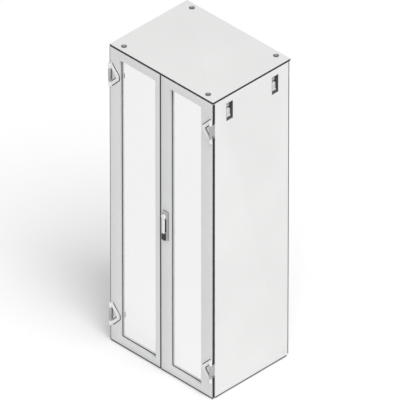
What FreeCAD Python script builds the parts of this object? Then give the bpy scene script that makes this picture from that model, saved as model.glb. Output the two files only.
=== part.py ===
"""Floor-standing industrial switchboard cabinet with two glazed doors and removable side panels.

Millimetres. +X is to the right seen from the front, +Y to the rear, +Z up.
The origin is the centre of the footprint, on the floor.
"""

import FreeCAD
import Part
import math
import os
from dataclasses import dataclass

Vector = FreeCAD.Vector
X_AXIS = Vector(1, 0, 0)
Y_AXIS = Vector(0, 1, 0)
Z_AXIS = Vector(0, 0, 1)

# Overall size
WIDTH = 800.0
DEPTH = 600.0
HEIGHT = 2000.0
HALF_WIDTH = WIDTH / 2
HALF_DEPTH = DEPTH / 2

# Sheet metal and clearances
SHEET = 1.5
ROOF_SHEET = 2.0
RIM_DEPTH = 10.0
ROOF_GAP = 5.0
FLOOR_GAP = 5.0
DOOR_FLANGE = 14.0
DOOR_TO_FRAME = 2.0
SIDE_FLANGE = 12.0
SIDE_TO_FRAME = 2.0
SIDE_FRONT_GAP = 1.0
REAR_CLEARANCE = 14.0
SOFT_CLEARANCE = 0.3
SCREW_CLEARANCE = 0.05
RUNNING_CLEARANCE = 0.05
FREE_CLEARANCE = 0.5

# Frame of hollow members
MEMBER = 38.0
MEMBER_WALL = 2.0
BASE_HEIGHT = 30.0
ROOF_FRAME_HEIGHT = 40.0
STRUT = 25.0
HOLE_PITCH = 25.0
HOLE_RADIUS = 4.5
FIRST_HOLE = 20.0
ANCHOR_HOLE_RADIUS = 7.0
ANCHOR_FROM_SIDE = 80.0
ANCHOR_FROM_EDGE = 34.0

# Roof screws
ROOF_SCREW_FROM_SIDE = 74.0
ROOF_SCREW_FROM_EDGE = 37.0
ROOF_SCREW_RADIUS = 6.0
ROOF_HEAD_RADIUS = 13.0
ROOF_HEAD_HEIGHT = 5.0

# Rear covers
REAR_INSET = 3.0
REAR_SIDE_INSET = 10.0
LOWER_COVER_HEIGHT = 402.0
LOWER_COVER_INSET = 4.0
REAR_FLANGE = 7.0
COVER_GAP = 2.0
CROSS_RAIL_Z = 391.0

# Doors
MEETING_X = -4.0
MEETING_GAP = 3.0
WINDOW_TO_BASE = 25.0
WINDOW_TO_ROOF_FRAME = 24.0
WINDOW_CORNER = 8.0
LEFT_WINDOW_TO_POST = 24.0
LEFT_MEETING_STILE = 41.5
RIGHT_WINDOW_TO_POST = 40.0
RIGHT_MEETING_STILE = 70.5
SEAL_THICKNESS = 1.5
GLASS_THICKNESS = 4.0
GLASS_OVERLAP = 8.0
GLASS_EDGE_GAP = 1.0
RETAINER_THICKNESS = 3.0
RETAINER_WIDTH = 18.0
RETAINER_LIP = 2.0
TUBE_WIDTH = 20.0
TUBE_DEPTH = 15.0
TUBE_WALL = 1.5
TUBE_TO_WINDOW = 2.0
DOOR_GASKET_WIDTH = 11.0
DOOR_GASKET_INSET = 39.0
TOP_GASKET_INSET = 19.0
BOTTOM_GASKET_INSET = 9.0

# Hinges
HINGE_FROM_SIDE = 8.0
HINGE_FORWARD = 10.0
KNUCKLE_RADIUS = 8.0
PIN_RADIUS = 4.0
HINGE_HALF_HEIGHT = 75.0
UPPER_KNUCKLE = 32.0
CENTRE_KNUCKLE = 80.0
LOWER_KNUCKLE = 27.0
KNUCKLE_GAP = 1.0
LOWER_HINGE_Z = 190.0
UPPER_HINGE_FROM_TOP = 196.0
ARM_REACH = 73.0
ARM_THICKNESS = 8.0
ARM_BAND = 18.0
ARM_APEX_HALF = 13.5
NOTCH_WIDTH = 17.0
NOTCH_MARGIN = 4.0
BRACKET_FOOT = 3.0
BRACKET_FOOT_WIDTH = 30.0
HINGE_SCREW_RADIUS = 3.0

# Swing handle
HANDLE_TO_MEETING = 38.0
PIVOT_Z = 1063.0
ESCUTCHEON_WIDTH = 40.0
ESCUTCHEON_BOTTOM = 901.0
ESCUTCHEON_TOP = 1091.0
ESCUTCHEON_DEPTH = 12.0
ESCUTCHEON_RIM = 4.0
GRIP_SCOOP = 7.0
HEAD_RADIUS = 14.0
HEAD_DEPTH = 12.0
LEVER_WIDTH = 17.0
LEVER_DEPTH = 11.0
LEVER_PIN_DROP = 7.0
LEVER_PIN_RADIUS = 2.0
TONGUE_WIDTH = 9.0
TONGUE_RADIUS = 5.0
LEVER_SHOULDER_DROP = 10.0
LOCK_BLOCK_WIDTH = 25.0
LOCK_BLOCK_HEIGHT = 45.0
LOCK_BLOCK_DEPTH = 10.0
CYLINDER_RADIUS = 8.0

# Rod lock
SPINDLE_RADIUS = 5.0
GEAR_MODULE = 1.25
PINION_TEETH = 14
GEAR_ADDENDUM = 1.0
GEAR_DEDENDUM = 1.3
GEAR_BACKLASH = 0.15
PRESSURE_ANGLE = math.radians(20)
ROD_THICKNESS = 3.5
ROD_DEPTH = 10.0
ROD_TIP_GAP = 1.0
KEEPER_THICKNESS = 4.0
CASE_HALF_HEIGHT = 40.0
CASE_WALL = 1.5
UPPER_RACK_TEETH = 7
LOCK_STANDOFF_RADIUS = 4.0
ESCUTCHEON_SCREW_RADIUS = 2.5

# Shoot bolts of the passive door
BOLT_TO_MEETING = 16.0
BOLT_WIDTH = 9.0
BOLT_LENGTH = 230.0
GUIDE_WALL = 1.5
GUIDE_HEIGHT = 22.0

# Side panel latches
LATCH_FROM_FRONT = 129.0
LATCH_FROM_REAR = 119.0
LATCH_WIDTH = 50.0
LATCH_FROM_TOP = 175.0
LATCH_HEIGHT = 117.0
LATCH_DEPTH = 26.0
LATCH_WALL = 2.0
LATCH_TRAVEL = 20.0
SLIDER_WIDTH = 36.0
SLIDER_HEIGHT = 53.0
SLIDER_THICKNESS = 8.0
SLIDER_BOTTOM = 12.0
TONGUE_THICKNESS = 4.0
STEM_HALF_WIDTH = 5.0
PANEL_CORNER = 12.0
STUD_RADIUS = 4.0

# Interior
PLATE_FROM_SIDE = 80.0
PLATE_BOTTOM = 100.0
PLATE_FROM_TOP = 100.0
PLATE_THICKNESS = 2.5
PLATE_FOLD = 15.0
RAIL_HEIGHT = 30.0
RAIL_DEPTH = 25.0
LOWER_RAIL_ROW = 5
UPPER_RAIL_ROWS_DOWN = 3
LATCH_STRUT_DROP = 30.0
MIDDLE_STRUT_Z = 970.0
LOWER_STRUT_Z = 220.0
EARTH_BAR_Z = 160.0
EARTH_BAR_FROM_SIDE = 150.0
EARTH_BAR_HEIGHT = 30.0
EARTH_BAR_THICKNESS = 5.0
EARTH_SUPPORT_LENGTH = 32.0
GLAND_PLATE_COUNT = 3
GLAND_PLATE_THICKNESS = 2.0
GLAND_PLATE_OVERLAP = 12.0
GLAND_PLATE_GAP = 2.0

# Places worked out from the sizes above
DOOR_FRONT = -HALF_DEPTH
DOOR_SKIN_BACK = DOOR_FRONT + SHEET
FRAME_FRONT = DOOR_FRONT + DOOR_FLANGE + DOOR_TO_FRAME
FRAME_REAR = HALF_DEPTH - REAR_CLEARANCE
FRAME_HALF_WIDTH = HALF_WIDTH - SIDE_FLANGE - SIDE_TO_FRAME
ROOF_UNDERSIDE = HEIGHT - ROOF_SHEET
ROOF_FRAME_TOP = HEIGHT - RIM_DEPTH
ROOF_FRAME_BOTTOM = ROOF_FRAME_TOP - ROOF_FRAME_HEIGHT
SKIN_TOP = HEIGHT - RIM_DEPTH - ROOF_GAP
POST_INNER_X = FRAME_HALF_WIDTH - MEMBER
FRONT_MEMBER_BACK = FRAME_FRONT + MEMBER
REAR_MEMBER_FRONT = FRAME_REAR - MEMBER
POST_CENTRE_X = FRAME_HALF_WIDTH - MEMBER / 2
FRONT_POST_CENTRE_Y = FRAME_FRONT + MEMBER / 2
REAR_POST_CENTRE_Y = FRAME_REAR - MEMBER / 2
ANCHOR_X = HALF_WIDTH - ANCHOR_FROM_SIDE
ANCHOR_Y = HALF_DEPTH - ANCHOR_FROM_EDGE
HINGE_X = HALF_WIDTH - HINGE_FROM_SIDE
HINGE_Y = DOOR_FRONT - HINGE_FORWARD
TUBE_BACK = DOOR_SKIN_BACK + TUBE_DEPTH
WINDOW_RETURN = TUBE_BACK - DOOR_FRONT
WINDOW_BOTTOM = BASE_HEIGHT + WINDOW_TO_BASE
WINDOW_TOP = ROOF_FRAME_BOTTOM - WINDOW_TO_ROOF_FRAME
LEFT_HINGE_STILE = HALF_WIDTH - POST_INNER_X + LEFT_WINDOW_TO_POST
RIGHT_HINGE_STILE = HALF_WIDTH - POST_INNER_X + RIGHT_WINDOW_TO_POST
ARM_SCREW_INSET = LEFT_HINGE_STILE - TUBE_TO_WINDOW - TUBE_WIDTH / 2
GLASS_FRONT = DOOR_FRONT + WINDOW_RETURN + SEAL_THICKNESS
GLASS_BACK = GLASS_FRONT + GLASS_THICKNESS
HANDLE_X = MEETING_X + HANDLE_TO_MEETING
BOLT_X = MEETING_X - BOLT_TO_MEETING
ESCUTCHEON_FRONT = DOOR_FRONT - ESCUTCHEON_DEPTH
LEVER_BACK = ESCUTCHEON_FRONT - FREE_CLEARANCE
LEVER_PIN_Y = LEVER_BACK - TONGUE_RADIUS - FREE_CLEARANCE
LEVER_PIN_Z = PIVOT_Z - LEVER_PIN_DROP
LOCK_BLOCK_BOTTOM = ESCUTCHEON_BOTTOM + 6.0
LOCK_BLOCK_TOP = LOCK_BLOCK_BOTTOM + LOCK_BLOCK_HEIGHT
CYLINDER_Z = (LOCK_BLOCK_BOTTOM + LOCK_BLOCK_TOP) / 2
LEVER_TIP_Z = LOCK_BLOCK_TOP + 2.0
PITCH_RADIUS = GEAR_MODULE * PINION_TEETH / 2
TOOTH_PITCH = math.pi * GEAR_MODULE
ROD_BACK_OFFSET = PITCH_RADIUS + GEAR_DEDENDUM + ROD_THICKNESS
ROD_FRONT_Y = TUBE_BACK + CASE_WALL + 1.0
ROD_REAR_Y = ROD_FRONT_Y + ROD_DEPTH
ESCUTCHEON_SCREW_Z = PIVOT_Z + 20.0
REAR_FACE = HALF_DEPTH - REAR_INSET
REAR_HALF_WIDTH = HALF_WIDTH - REAR_SIDE_INSET
REAR_SHEET_FRONT = REAR_FACE - SHEET
LOWER_FACE = REAR_SHEET_FRONT - SHEET
LOWER_SHEET_FRONT = LOWER_FACE - SHEET
RAIL_FRONT = REAR_MEMBER_FRONT - RAIL_DEPTH
PLATE_FRONT = RAIL_FRONT - PLATE_THICKNESS
PLATE_HALF_WIDTH = HALF_WIDTH - PLATE_FROM_SIDE
PLATE_TOP = HEIGHT - PLATE_FROM_TOP
EARTH_BAR_HALF_LENGTH = HALF_WIDTH - EARTH_BAR_FROM_SIDE
POST_HOLE_COUNT = int((ROOF_FRAME_BOTTOM - BASE_HEIGHT - 2 * FIRST_HOLE) / HOLE_PITCH) + 1
RAIL_HOLE_ROWS = (LOWER_RAIL_ROW, POST_HOLE_COUNT - UPPER_RAIL_ROWS_DOWN)
LATCH_BOTTOM = HEIGHT - LATCH_FROM_TOP
STRUT_HEIGHTS = (LATCH_BOTTOM - LATCH_STRUT_DROP, MIDDLE_STRUT_Z, LOWER_STRUT_Z)
LATCH_PLACES = (-HALF_DEPTH + LATCH_FROM_FRONT, HALF_DEPTH - LATCH_FROM_REAR)
HINGE_HEIGHTS = (LOWER_HINGE_Z, HEIGHT - UPPER_HINGE_FROM_TOP)


@dataclass
class Door:
    """One door leaf: side is +1 for the right leaf and -1 for the left one."""

    name: str
    side: int
    meeting_x: float
    hinge_stile: float
    meeting_stile: float

    @property
    def outer_x(self):
        return self.side * HALF_WIDTH

    @property
    def window_outer_x(self):
        return self.outer_x - self.side * self.hinge_stile

    @property
    def window_inner_x(self):
        return self.meeting_x + self.side * self.meeting_stile

    def window(self, growth, y0, y1):
        """A block as large as the window opening grown by a margin all round."""
        low = min(self.window_outer_x, self.window_inner_x) - growth
        high = max(self.window_outer_x, self.window_inner_x) + growth
        return block((low, y0, WINDOW_BOTTOM - growth), (high, y1, WINDOW_TOP + growth))


RIGHT_DOOR = Door("right", 1, MEETING_X + MEETING_GAP / 2, RIGHT_HINGE_STILE, RIGHT_MEETING_STILE)
LEFT_DOOR = Door("left", -1, MEETING_X - MEETING_GAP / 2, LEFT_HINGE_STILE, LEFT_MEETING_STILE)


def block(corner_a, corner_b):
    """A box between two opposite corners, given in any order."""
    low = [min(pair) for pair in zip(corner_a, corner_b)]
    size = [abs(a - b) for a, b in zip(corner_a, corner_b)]
    return Part.makeBox(*size, Vector(*low))


def rod(radius, start, axis, length):
    """A cylinder from a start point along an axis."""
    return Part.makeCylinder(radius, length, Vector(*start), axis)


def prism(points, extrusion):
    """A solid from a closed outline of points, pushed along a vector."""
    outline = [Vector(*point) for point in points]
    return Part.Face(Part.makePolygon(outline + outline[:1])).extrude(extrusion)


def tube(corner_a, corner_b, wall, along):
    """A hollow rectangular member, open at both ends; along is the index of its long axis."""
    low = [min(pair) for pair in zip(corner_a, corner_b)]
    high = [max(pair) for pair in zip(corner_a, corner_b)]
    inner_low = [v if i == along else v + wall for i, v in enumerate(low)]
    inner_high = [v if i == along else v - wall for i, v in enumerate(high)]
    return block(low, high).cut(block(inner_low, inner_high))


def rounded(shape, radius, direction):
    """Round the straight edges of a block that run along a direction."""
    edges = [e for e in shape.Edges if abs(e.tangentAt(e.FirstParameter).dot(direction)) > 0.99]
    return shape.makeFillet(radius, edges)


def tray(corner_a, corner_b, wall, open_side):
    """A folded sheet tray; open_side is (axis index, -1 or +1) of the missing wall."""
    low = [min(pair) for pair in zip(corner_a, corner_b)]
    high = [max(pair) for pair in zip(corner_a, corner_b)]
    inner_low = [v + wall for v in low]
    inner_high = [v - wall for v in high]
    index, sign = open_side
    if sign > 0:
        inner_high[index] = high[index]
    else:
        inner_low[index] = low[index]
    return block(low, high).cut(block(inner_low, inner_high))


def drill(shape, radius, places, axis, start, length):
    """Cut equal round holes; places fill in the two coordinates across the axis."""
    tools = []
    for place in places:
        point = list(place)
        point.insert(0 if axis.x else 1 if axis.y else 2, start)
        tools.append(rod(radius, point, axis, length))
    return shape.cut(tools)


def screw(head_centre, inward, shank_radius, shank_length, head_radius, head_height):
    """A screw with a hexagon socket; head_centre lies under the head, inward is its shank's way."""
    centre = Vector(*head_centre)
    body = rod(shank_radius, centre, inward, shank_length)
    head = rod(head_radius, centre - inward * head_height, inward, head_height)
    socket = rod(head_radius * 0.4, centre - inward * head_height, inward, head_height * 0.6)
    return body.fuse(head).cut(socket)


def on_both_sides(shape):
    """A shape and its mirror image across the middle plane."""
    return [shape, shape.mirror(Vector(0, 0, 0), X_AXIS)]


def export(node, *solids):
    """Write one named piece, or one set of equal pieces, to its own file."""
    shape = solids[0] if len(solids) == 1 else Part.makeCompound(list(solids))
    shape.exportStep(f"parts/{node}.step")


# ---------------------------------------------------------------- frame


def roof_screw_places():
    x = HALF_WIDTH - ROOF_SCREW_FROM_SIDE
    y = HALF_DEPTH - ROOF_SCREW_FROM_EDGE
    return [(sx * x, sy * y) for sx in (-1, 1) for sy in (-1, 1)]


def ring_frame(z0, z1):
    """Four hollow members of the base or the roof frame, butted at the corners."""
    members = [
        tube((-FRAME_HALF_WIDTH, FRAME_FRONT, z0), (FRAME_HALF_WIDTH, FRONT_MEMBER_BACK, z1), MEMBER_WALL, 0),
        tube((-FRAME_HALF_WIDTH, REAR_MEMBER_FRONT, z0), (FRAME_HALF_WIDTH, FRAME_REAR, z1), MEMBER_WALL, 0),
    ]
    side = tube(
        (POST_INNER_X, FRONT_MEMBER_BACK, z0), (FRAME_HALF_WIDTH, REAR_MEMBER_FRONT, z1), MEMBER_WALL, 1
    )
    return members + on_both_sides(side)


def base_frame():
    anchors = [(sx * ANCHOR_X, sy * ANCHOR_Y) for sx in (-1, 1) for sy in (-1, 1)]
    screws = gland_screw_places()
    members = []
    for member in ring_frame(0, BASE_HEIGHT):
        member = drill(member, ANCHOR_HOLE_RADIUS, anchors, Z_AXIS, 0, BASE_HEIGHT)
        member = drill(member, 2.5 + SCREW_CLEARANCE, screws, Z_AXIS, BASE_HEIGHT - MEMBER_WALL, MEMBER_WALL)
        members.append(cut_rear_screws(member))
    export("base_frame", *members)


def roof_frame():
    members = []
    for member in ring_frame(ROOF_FRAME_BOTTOM, ROOF_FRAME_TOP):
        start = ROOF_FRAME_TOP - MEMBER_WALL
        radius = ROOF_SCREW_RADIUS + SCREW_CLEARANCE
        member = drill(member, radius, roof_screw_places(), Z_AXIS, start, MEMBER_WALL)
        members.append(cut_rear_screws(member))
    export("roof_frame", *members)


def hole_height(row):
    """Height of a row of the posts' punched holes."""
    return BASE_HEIGHT + FIRST_HOLE + row * HOLE_PITCH


def corner_post(centre_y, inward_y):
    """One right-hand corner post, punched on the two faces that look into the cabinet."""
    half = MEMBER / 2
    post = tube(
        (POST_INNER_X, centre_y - half, BASE_HEIGHT),
        (FRAME_HALF_WIDTH, centre_y + half, ROOF_FRAME_BOTTOM),
        MEMBER_WALL,
        2,
    )
    heights = [hole_height(row) for row in range(POST_HOLE_COUNT)]
    post = drill(post, HOLE_RADIUS, [(centre_y, z) for z in heights], X_AXIS, POST_INNER_X, MEMBER_WALL)
    face_y = centre_y + half - MEMBER_WALL if inward_y > 0 else centre_y - half
    return drill(post, HOLE_RADIUS, [(POST_CENTRE_X, z) for z in heights], Y_AXIS, face_y, MEMBER_WALL)


def posts():
    front = corner_post(FRONT_POST_CENTRE_Y, 1)
    places = [(x, z) for x, z in bracket_screw_places(1)]
    radius = HINGE_SCREW_RADIUS + SCREW_CLEARANCE
    front = drill(front, radius, places, Y_AXIS, FRAME_FRONT, MEMBER_WALL)
    export("front_posts", *on_both_sides(front))
    rear = cut_rear_screws(corner_post(REAR_POST_CENTRE_Y, -1))
    export("rear_posts", *on_both_sides(rear))


def frame_struts():
    """Depth struts between the posts, and the rear cross rail where the two rear covers meet."""
    struts = []
    for z in STRUT_HEIGHTS:
        low = (FRAME_HALF_WIDTH - STRUT, FRONT_MEMBER_BACK, z)
        high = (FRAME_HALF_WIDTH, REAR_MEMBER_FRONT, z + STRUT)
        struts += on_both_sides(tube(low, high, MEMBER_WALL, 1))
    low = (-POST_INNER_X, FRAME_REAR - STRUT, CROSS_RAIL_Z)
    high = (POST_INNER_X, FRAME_REAR, CROSS_RAIL_Z + STRUT)
    struts.append(cut_rear_screws(tube(low, high, MEMBER_WALL, 0)))
    export("frame_struts", *struts)


# ---------------------------------------------------------------- roof and rear


def roof_panel():
    low = (-HALF_WIDTH, -HALF_DEPTH, ROOF_FRAME_TOP)
    high = (HALF_WIDTH, HALF_DEPTH, HEIGHT)
    panel = tray(low, high, ROOF_SHEET, (2, -1))
    radius = ROOF_SCREW_RADIUS + SCREW_CLEARANCE
    export("roof_panel", drill(panel, radius, roof_screw_places(), Z_AXIS, ROOF_UNDERSIDE, ROOF_SHEET))


def roof_screws():
    length = HEIGHT - ROOF_FRAME_TOP + 20.0
    screws = []
    for x, y in roof_screw_places():
        shape = screw(
            (x, y, HEIGHT), -Z_AXIS, ROOF_SCREW_RADIUS, length, ROOF_HEAD_RADIUS, ROOF_HEAD_HEIGHT
        )
        screws.append(shape)
    export("roof_screws", *screws)


def rear_screw_places():
    """Heights and widths of the rear cover screws: upper cover first, then lower cover."""
    upper_z = [CROSS_RAIL_Z + STRUT - 5.0, 800.0, 1200.0, 1600.0, ROOF_FRAME_BOTTOM + 20.0]
    lower_z = [BASE_HEIGHT / 2, CROSS_RAIL_Z + 5.0]
    upper = [(sx * POST_CENTRE_X, z) for sx in (-1, 1) for z in upper_z]
    lower = [(sx * POST_CENTRE_X, z) for sx in (-1, 1) for z in lower_z]
    upper += [(0.0, upper_z[0]), (0.0, upper_z[-1])]
    lower += [(0.0, lower_z[0]), (0.0, lower_z[-1])]
    return upper, lower


def cut_rear_screws(shape):
    """Cut the rear cover screws' holes through one wall of a frame member."""
    upper, lower = rear_screw_places()
    radius = HINGE_SCREW_RADIUS + SCREW_CLEARANCE
    return drill(shape, radius, upper + lower, Y_AXIS, FRAME_REAR - MEMBER_WALL, MEMBER_WALL)


def rear_covers():
    upper, lower = rear_screw_places()
    radius = HINGE_SCREW_RADIUS + SCREW_CLEARANCE
    low = (-REAR_HALF_WIDTH, REAR_FACE - REAR_FLANGE, LOWER_COVER_HEIGHT + COVER_GAP)
    panel = tray(low, (REAR_HALF_WIDTH, REAR_FACE, SKIN_TOP), SHEET, (1, -1))
    export("rear_panel", drill(panel, radius, upper, Y_AXIS, REAR_SHEET_FRONT, SHEET))
    half_width = REAR_HALF_WIDTH - LOWER_COVER_INSET
    low = (-half_width, LOWER_SHEET_FRONT, FLOOR_GAP)
    cover = block(low, (half_width, LOWER_FACE, LOWER_COVER_HEIGHT))
    export("rear_lower_cover", drill(cover, radius, lower, Y_AXIS, LOWER_SHEET_FRONT, SHEET))
    screws = []
    for places, face in ((upper, REAR_FACE), (lower, LOWER_FACE)):
        length = face - FRAME_REAR + 6.0
        screws += [screw((x, face, z), -Y_AXIS, HINGE_SCREW_RADIUS, length, 6.0, 3.0) for x, z in places]
    export("rear_screws", *screws)


def strip_ring(low, high, width, index):
    """Four straight foam strips round the border of a block; index is the flat direction."""
    across = [i for i in range(3) if i != index]
    strips = []
    for axis, other in (across, across[::-1]):
        for end in (0, 1):
            a, b = list(low), list(high)
            if end:
                a[axis] = high[axis] - width
            else:
                b[axis] = low[axis] + width
            if axis == across[0]:
                a[other] = low[other] + width
                b[other] = high[other] - width
            strips.append(block(a, b))
    return strips


def frame_gaskets():
    """Foam strips between the frame and the roof, the side panels and the rear covers."""
    width = 14.0
    inset = 6.0
    border_x = FRAME_HALF_WIDTH - inset
    low = (-border_x, FRAME_FRONT + inset, ROOF_FRAME_TOP)
    high = (border_x, FRAME_REAR - inset, ROOF_UNDERSIDE)
    strips = strip_ring(low, high, width, 2)
    low = (FRAME_HALF_WIDTH, FRAME_FRONT + inset, FLOOR_GAP + inset)
    side_strip = HALF_WIDTH - SHEET - SOFT_CLEARANCE
    high = (side_strip, FRAME_REAR - inset, SKIN_TOP - inset)
    for strip in strip_ring(low, high, width, 0):
        strips += on_both_sides(strip)
    cover_border = FRAME_HALF_WIDTH - inset
    low = (-cover_border, FRAME_REAR, CROSS_RAIL_Z + STRUT - 10.0)
    upper = strip_ring(low, (cover_border, REAR_SHEET_FRONT, SKIN_TOP - inset), width, 1)
    low = (-cover_border, FRAME_REAR, FLOOR_GAP + inset)
    lower = strip_ring(low, (cover_border, LOWER_SHEET_FRONT, LOWER_COVER_HEIGHT - 1.0), width, 1)
    radius = HINGE_SCREW_RADIUS + SCREW_CLEARANCE
    depth = REAR_SHEET_FRONT - FRAME_REAR
    all_places = sum(rear_screw_places(), [])
    strips += [drill(strip, radius, all_places, Y_AXIS, FRAME_REAR, depth) for strip in upper + lower]
    roof_radius = ROOF_SCREW_RADIUS + SCREW_CLEARANCE
    rise = ROOF_UNDERSIDE - ROOF_FRAME_TOP
    strips[:4] = [
        drill(strip, roof_radius, roof_screw_places(), Z_AXIS, ROOF_FRAME_TOP, rise) for strip in strips[:4]
    ]
    export("frame_gaskets", *strips)


# ---------------------------------------------------------------- interior


def rail_bolt_places():
    return [(sx * POST_CENTRE_X, hole_height(row)) for row in RAIL_HOLE_ROWS for sx in (-1, 1)]


def plate_bolt_places():
    x = PLATE_HALF_WIDTH - 40.0
    return [(sx * x, hole_height(row)) for row in RAIL_HOLE_ROWS for sx in (-1, 1)]


def mounting_rails():
    rails = []
    for row in RAIL_HOLE_ROWS:
        z = hole_height(row) - RAIL_HEIGHT / 2
        low = (-FRAME_HALF_WIDTH, RAIL_FRONT, z)
        rail = tube(low, (FRAME_HALF_WIDTH, REAR_MEMBER_FRONT, z + RAIL_HEIGHT), MEMBER_WALL, 0)
        radius = HOLE_RADIUS - 0.5 + SCREW_CLEARANCE
        rail = drill(rail, radius, rail_bolt_places(), Y_AXIS, RAIL_FRONT, RAIL_DEPTH)
        rails.append(drill(rail, radius, plate_bolt_places(), Y_AXIS, RAIL_FRONT, MEMBER_WALL))
    export("mounting_rails", *rails)


def mounting_plate():
    low = (-PLATE_HALF_WIDTH, PLATE_FRONT, PLATE_BOTTOM)
    plate = block(low, (PLATE_HALF_WIDTH, RAIL_FRONT, PLATE_TOP))
    fold_low = (PLATE_HALF_WIDTH - PLATE_THICKNESS, PLATE_FRONT, PLATE_BOTTOM)
    fold_high = (PLATE_HALF_WIDTH, PLATE_FRONT + PLATE_FOLD, PLATE_TOP)
    plate = plate.fuse(on_both_sides(block(fold_low, fold_high)))
    for row in RAIL_HOLE_ROWS:
        z = hole_height(row)
        low = (-PLATE_HALF_WIDTH, RAIL_FRONT, z - RAIL_HEIGHT / 2 - FREE_CLEARANCE)
        high = (PLATE_HALF_WIDTH, RAIL_FRONT + PLATE_FOLD, z + RAIL_HEIGHT / 2 + FREE_CLEARANCE)
        plate = plate.cut(block(low, high))
    radius = HOLE_RADIUS - 0.5 + SCREW_CLEARANCE
    plate = drill(plate, radius, plate_bolt_places(), Y_AXIS, PLATE_FRONT, PLATE_THICKNESS)
    export("mounting_plate", plate)


def mounting_bolts():
    radius = HOLE_RADIUS - 0.5
    bolts = []
    for x, z in rail_bolt_places():
        length = RAIL_DEPTH + MEMBER_WALL + 8.0
        bolts.append(screw((x, RAIL_FRONT, z), Y_AXIS, radius, length, 8.0, 5.0))
    for x, z in plate_bolt_places():
        bolts.append(screw((x, PLATE_FRONT, z), Y_AXIS, radius, 14.0, 8.0, 5.0))
    export("mounting_bolts", *bolts)


def earth_bar():
    """Copper earth bar near the foot of the mounting plate, on two insulators."""
    bar_back = PLATE_FRONT - EARTH_SUPPORT_LENGTH
    bar_front = bar_back - EARTH_BAR_THICKNESS
    low = (-EARTH_BAR_HALF_LENGTH, bar_front, EARTH_BAR_Z)
    high = (EARTH_BAR_HALF_LENGTH, bar_back, EARTH_BAR_Z + EARTH_BAR_HEIGHT)
    spacing = 25.0
    count = int(2 * EARTH_BAR_HALF_LENGTH / spacing) - 2
    places = [((i - (count - 1) / 2) * spacing, EARTH_BAR_Z + EARTH_BAR_HEIGHT / 2) for i in range(count)]
    export("earth_bar", drill(block(low, high), 3.0, places, Y_AXIS, bar_front, EARTH_BAR_THICKNESS))
    support_x = EARTH_BAR_HALF_LENGTH - 17.0
    middle_z = EARTH_BAR_Z + EARTH_BAR_HEIGHT / 2
    support = rod(12.0, (support_x, bar_back, middle_z), Y_AXIS, EARTH_SUPPORT_LENGTH)
    export("earth_bar_supports", *on_both_sides(support))


def gland_plate_spans():
    """Left and right edges of each gland plate in the floor opening."""
    total = 2 * (POST_INNER_X - FREE_CLEARANCE)
    width = (total - (GLAND_PLATE_COUNT - 1) * GLAND_PLATE_GAP) / GLAND_PLATE_COUNT
    left = -total / 2
    return [(left + i * (width + GLAND_PLATE_GAP), left + i * (width + GLAND_PLATE_GAP) + width)
            for i in range(GLAND_PLATE_COUNT)]


def gland_screw_places():
    edge = GLAND_PLATE_OVERLAP / 2
    rows = (FRONT_MEMBER_BACK - edge, REAR_MEMBER_FRONT + edge)
    return [(x, y) for x0, x1 in gland_plate_spans() for x in (x0 + 20.0, x1 - 20.0) for y in rows]


def gland_plates():
    plates = []
    for x0, x1 in gland_plate_spans():
        low = (x0, FRONT_MEMBER_BACK - GLAND_PLATE_OVERLAP, BASE_HEIGHT)
        high = (x1, REAR_MEMBER_FRONT + GLAND_PLATE_OVERLAP, BASE_HEIGHT + GLAND_PLATE_THICKNESS)
        radius = 2.5 + SCREW_CLEARANCE
        plate = block(low, high)
        plate = drill(plate, radius, gland_screw_places(), Z_AXIS, BASE_HEIGHT, GLAND_PLATE_THICKNESS)
        plates.append(plate)
    export("gland_plates", *plates)


# ---------------------------------------------------------------- hinges


def knuckle_spans(hinge_z):
    """Bottom and top of the lower, centre and upper knuckles of one hinge."""
    bottom = hinge_z - HINGE_HALF_HEIGHT
    top = hinge_z + HINGE_HALF_HEIGHT
    centre_top = top - UPPER_KNUCKLE - KNUCKLE_GAP
    return {
        "lower": (bottom, bottom + LOWER_KNUCKLE),
        "centre": (centre_top - CENTRE_KNUCKLE, centre_top),
        "upper": (top - UPPER_KNUCKLE, top),
    }


def bracket_screw_places(side):
    """Screws of the hinge brackets' feet on the front posts."""
    places = []
    for hinge_z in HINGE_HEIGHTS:
        low, high = knuckle_spans(hinge_z)["centre"]
        places += [(side * (POST_CENTRE_X + 4.0), z) for z in (low + 15.0, high - 15.0)]
    return places


def hinge_bracket(hinge_z):
    """Right-hand bracket on the post: centre knuckle, web through the door's notch, and foot."""
    low, high = knuckle_spans(hinge_z)["centre"]
    knuckle = rod(KNUCKLE_RADIUS, (HINGE_X, HINGE_Y, low), Z_AXIS, high - low)
    web = block((HINGE_X - 4.0, HINGE_Y, low), (HINGE_X + 2.0, FRAME_FRONT, high))
    foot_edge = HINGE_X + 2.0 - BRACKET_FOOT_WIDTH
    foot = block((foot_edge, FRAME_FRONT - BRACKET_FOOT, low), (HINGE_X + 2.0, FRAME_FRONT, high))
    bracket = knuckle.fuse([web, foot])
    bracket = bracket.cut(rod(PIN_RADIUS + 0.01, (HINGE_X, HINGE_Y, low), Z_AXIS, high - low))
    radius = HINGE_SCREW_RADIUS + SCREW_CLEARANCE
    return drill(bracket, radius, bracket_screw_places(1), Y_AXIS, FRAME_FRONT - BRACKET_FOOT, BRACKET_FOOT)


def hinge_brackets_and_pins():
    brackets = []
    pins = []
    for hinge_z in HINGE_HEIGHTS:
        brackets += on_both_sides(hinge_bracket(hinge_z))
        start = (HINGE_X, HINGE_Y, hinge_z - HINGE_HALF_HEIGHT)
        pins += on_both_sides(rod(PIN_RADIUS, start, Z_AXIS, 2 * HINGE_HALF_HEIGHT))
    export("hinge_brackets", *brackets)
    export("hinge_pins", *pins)


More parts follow.
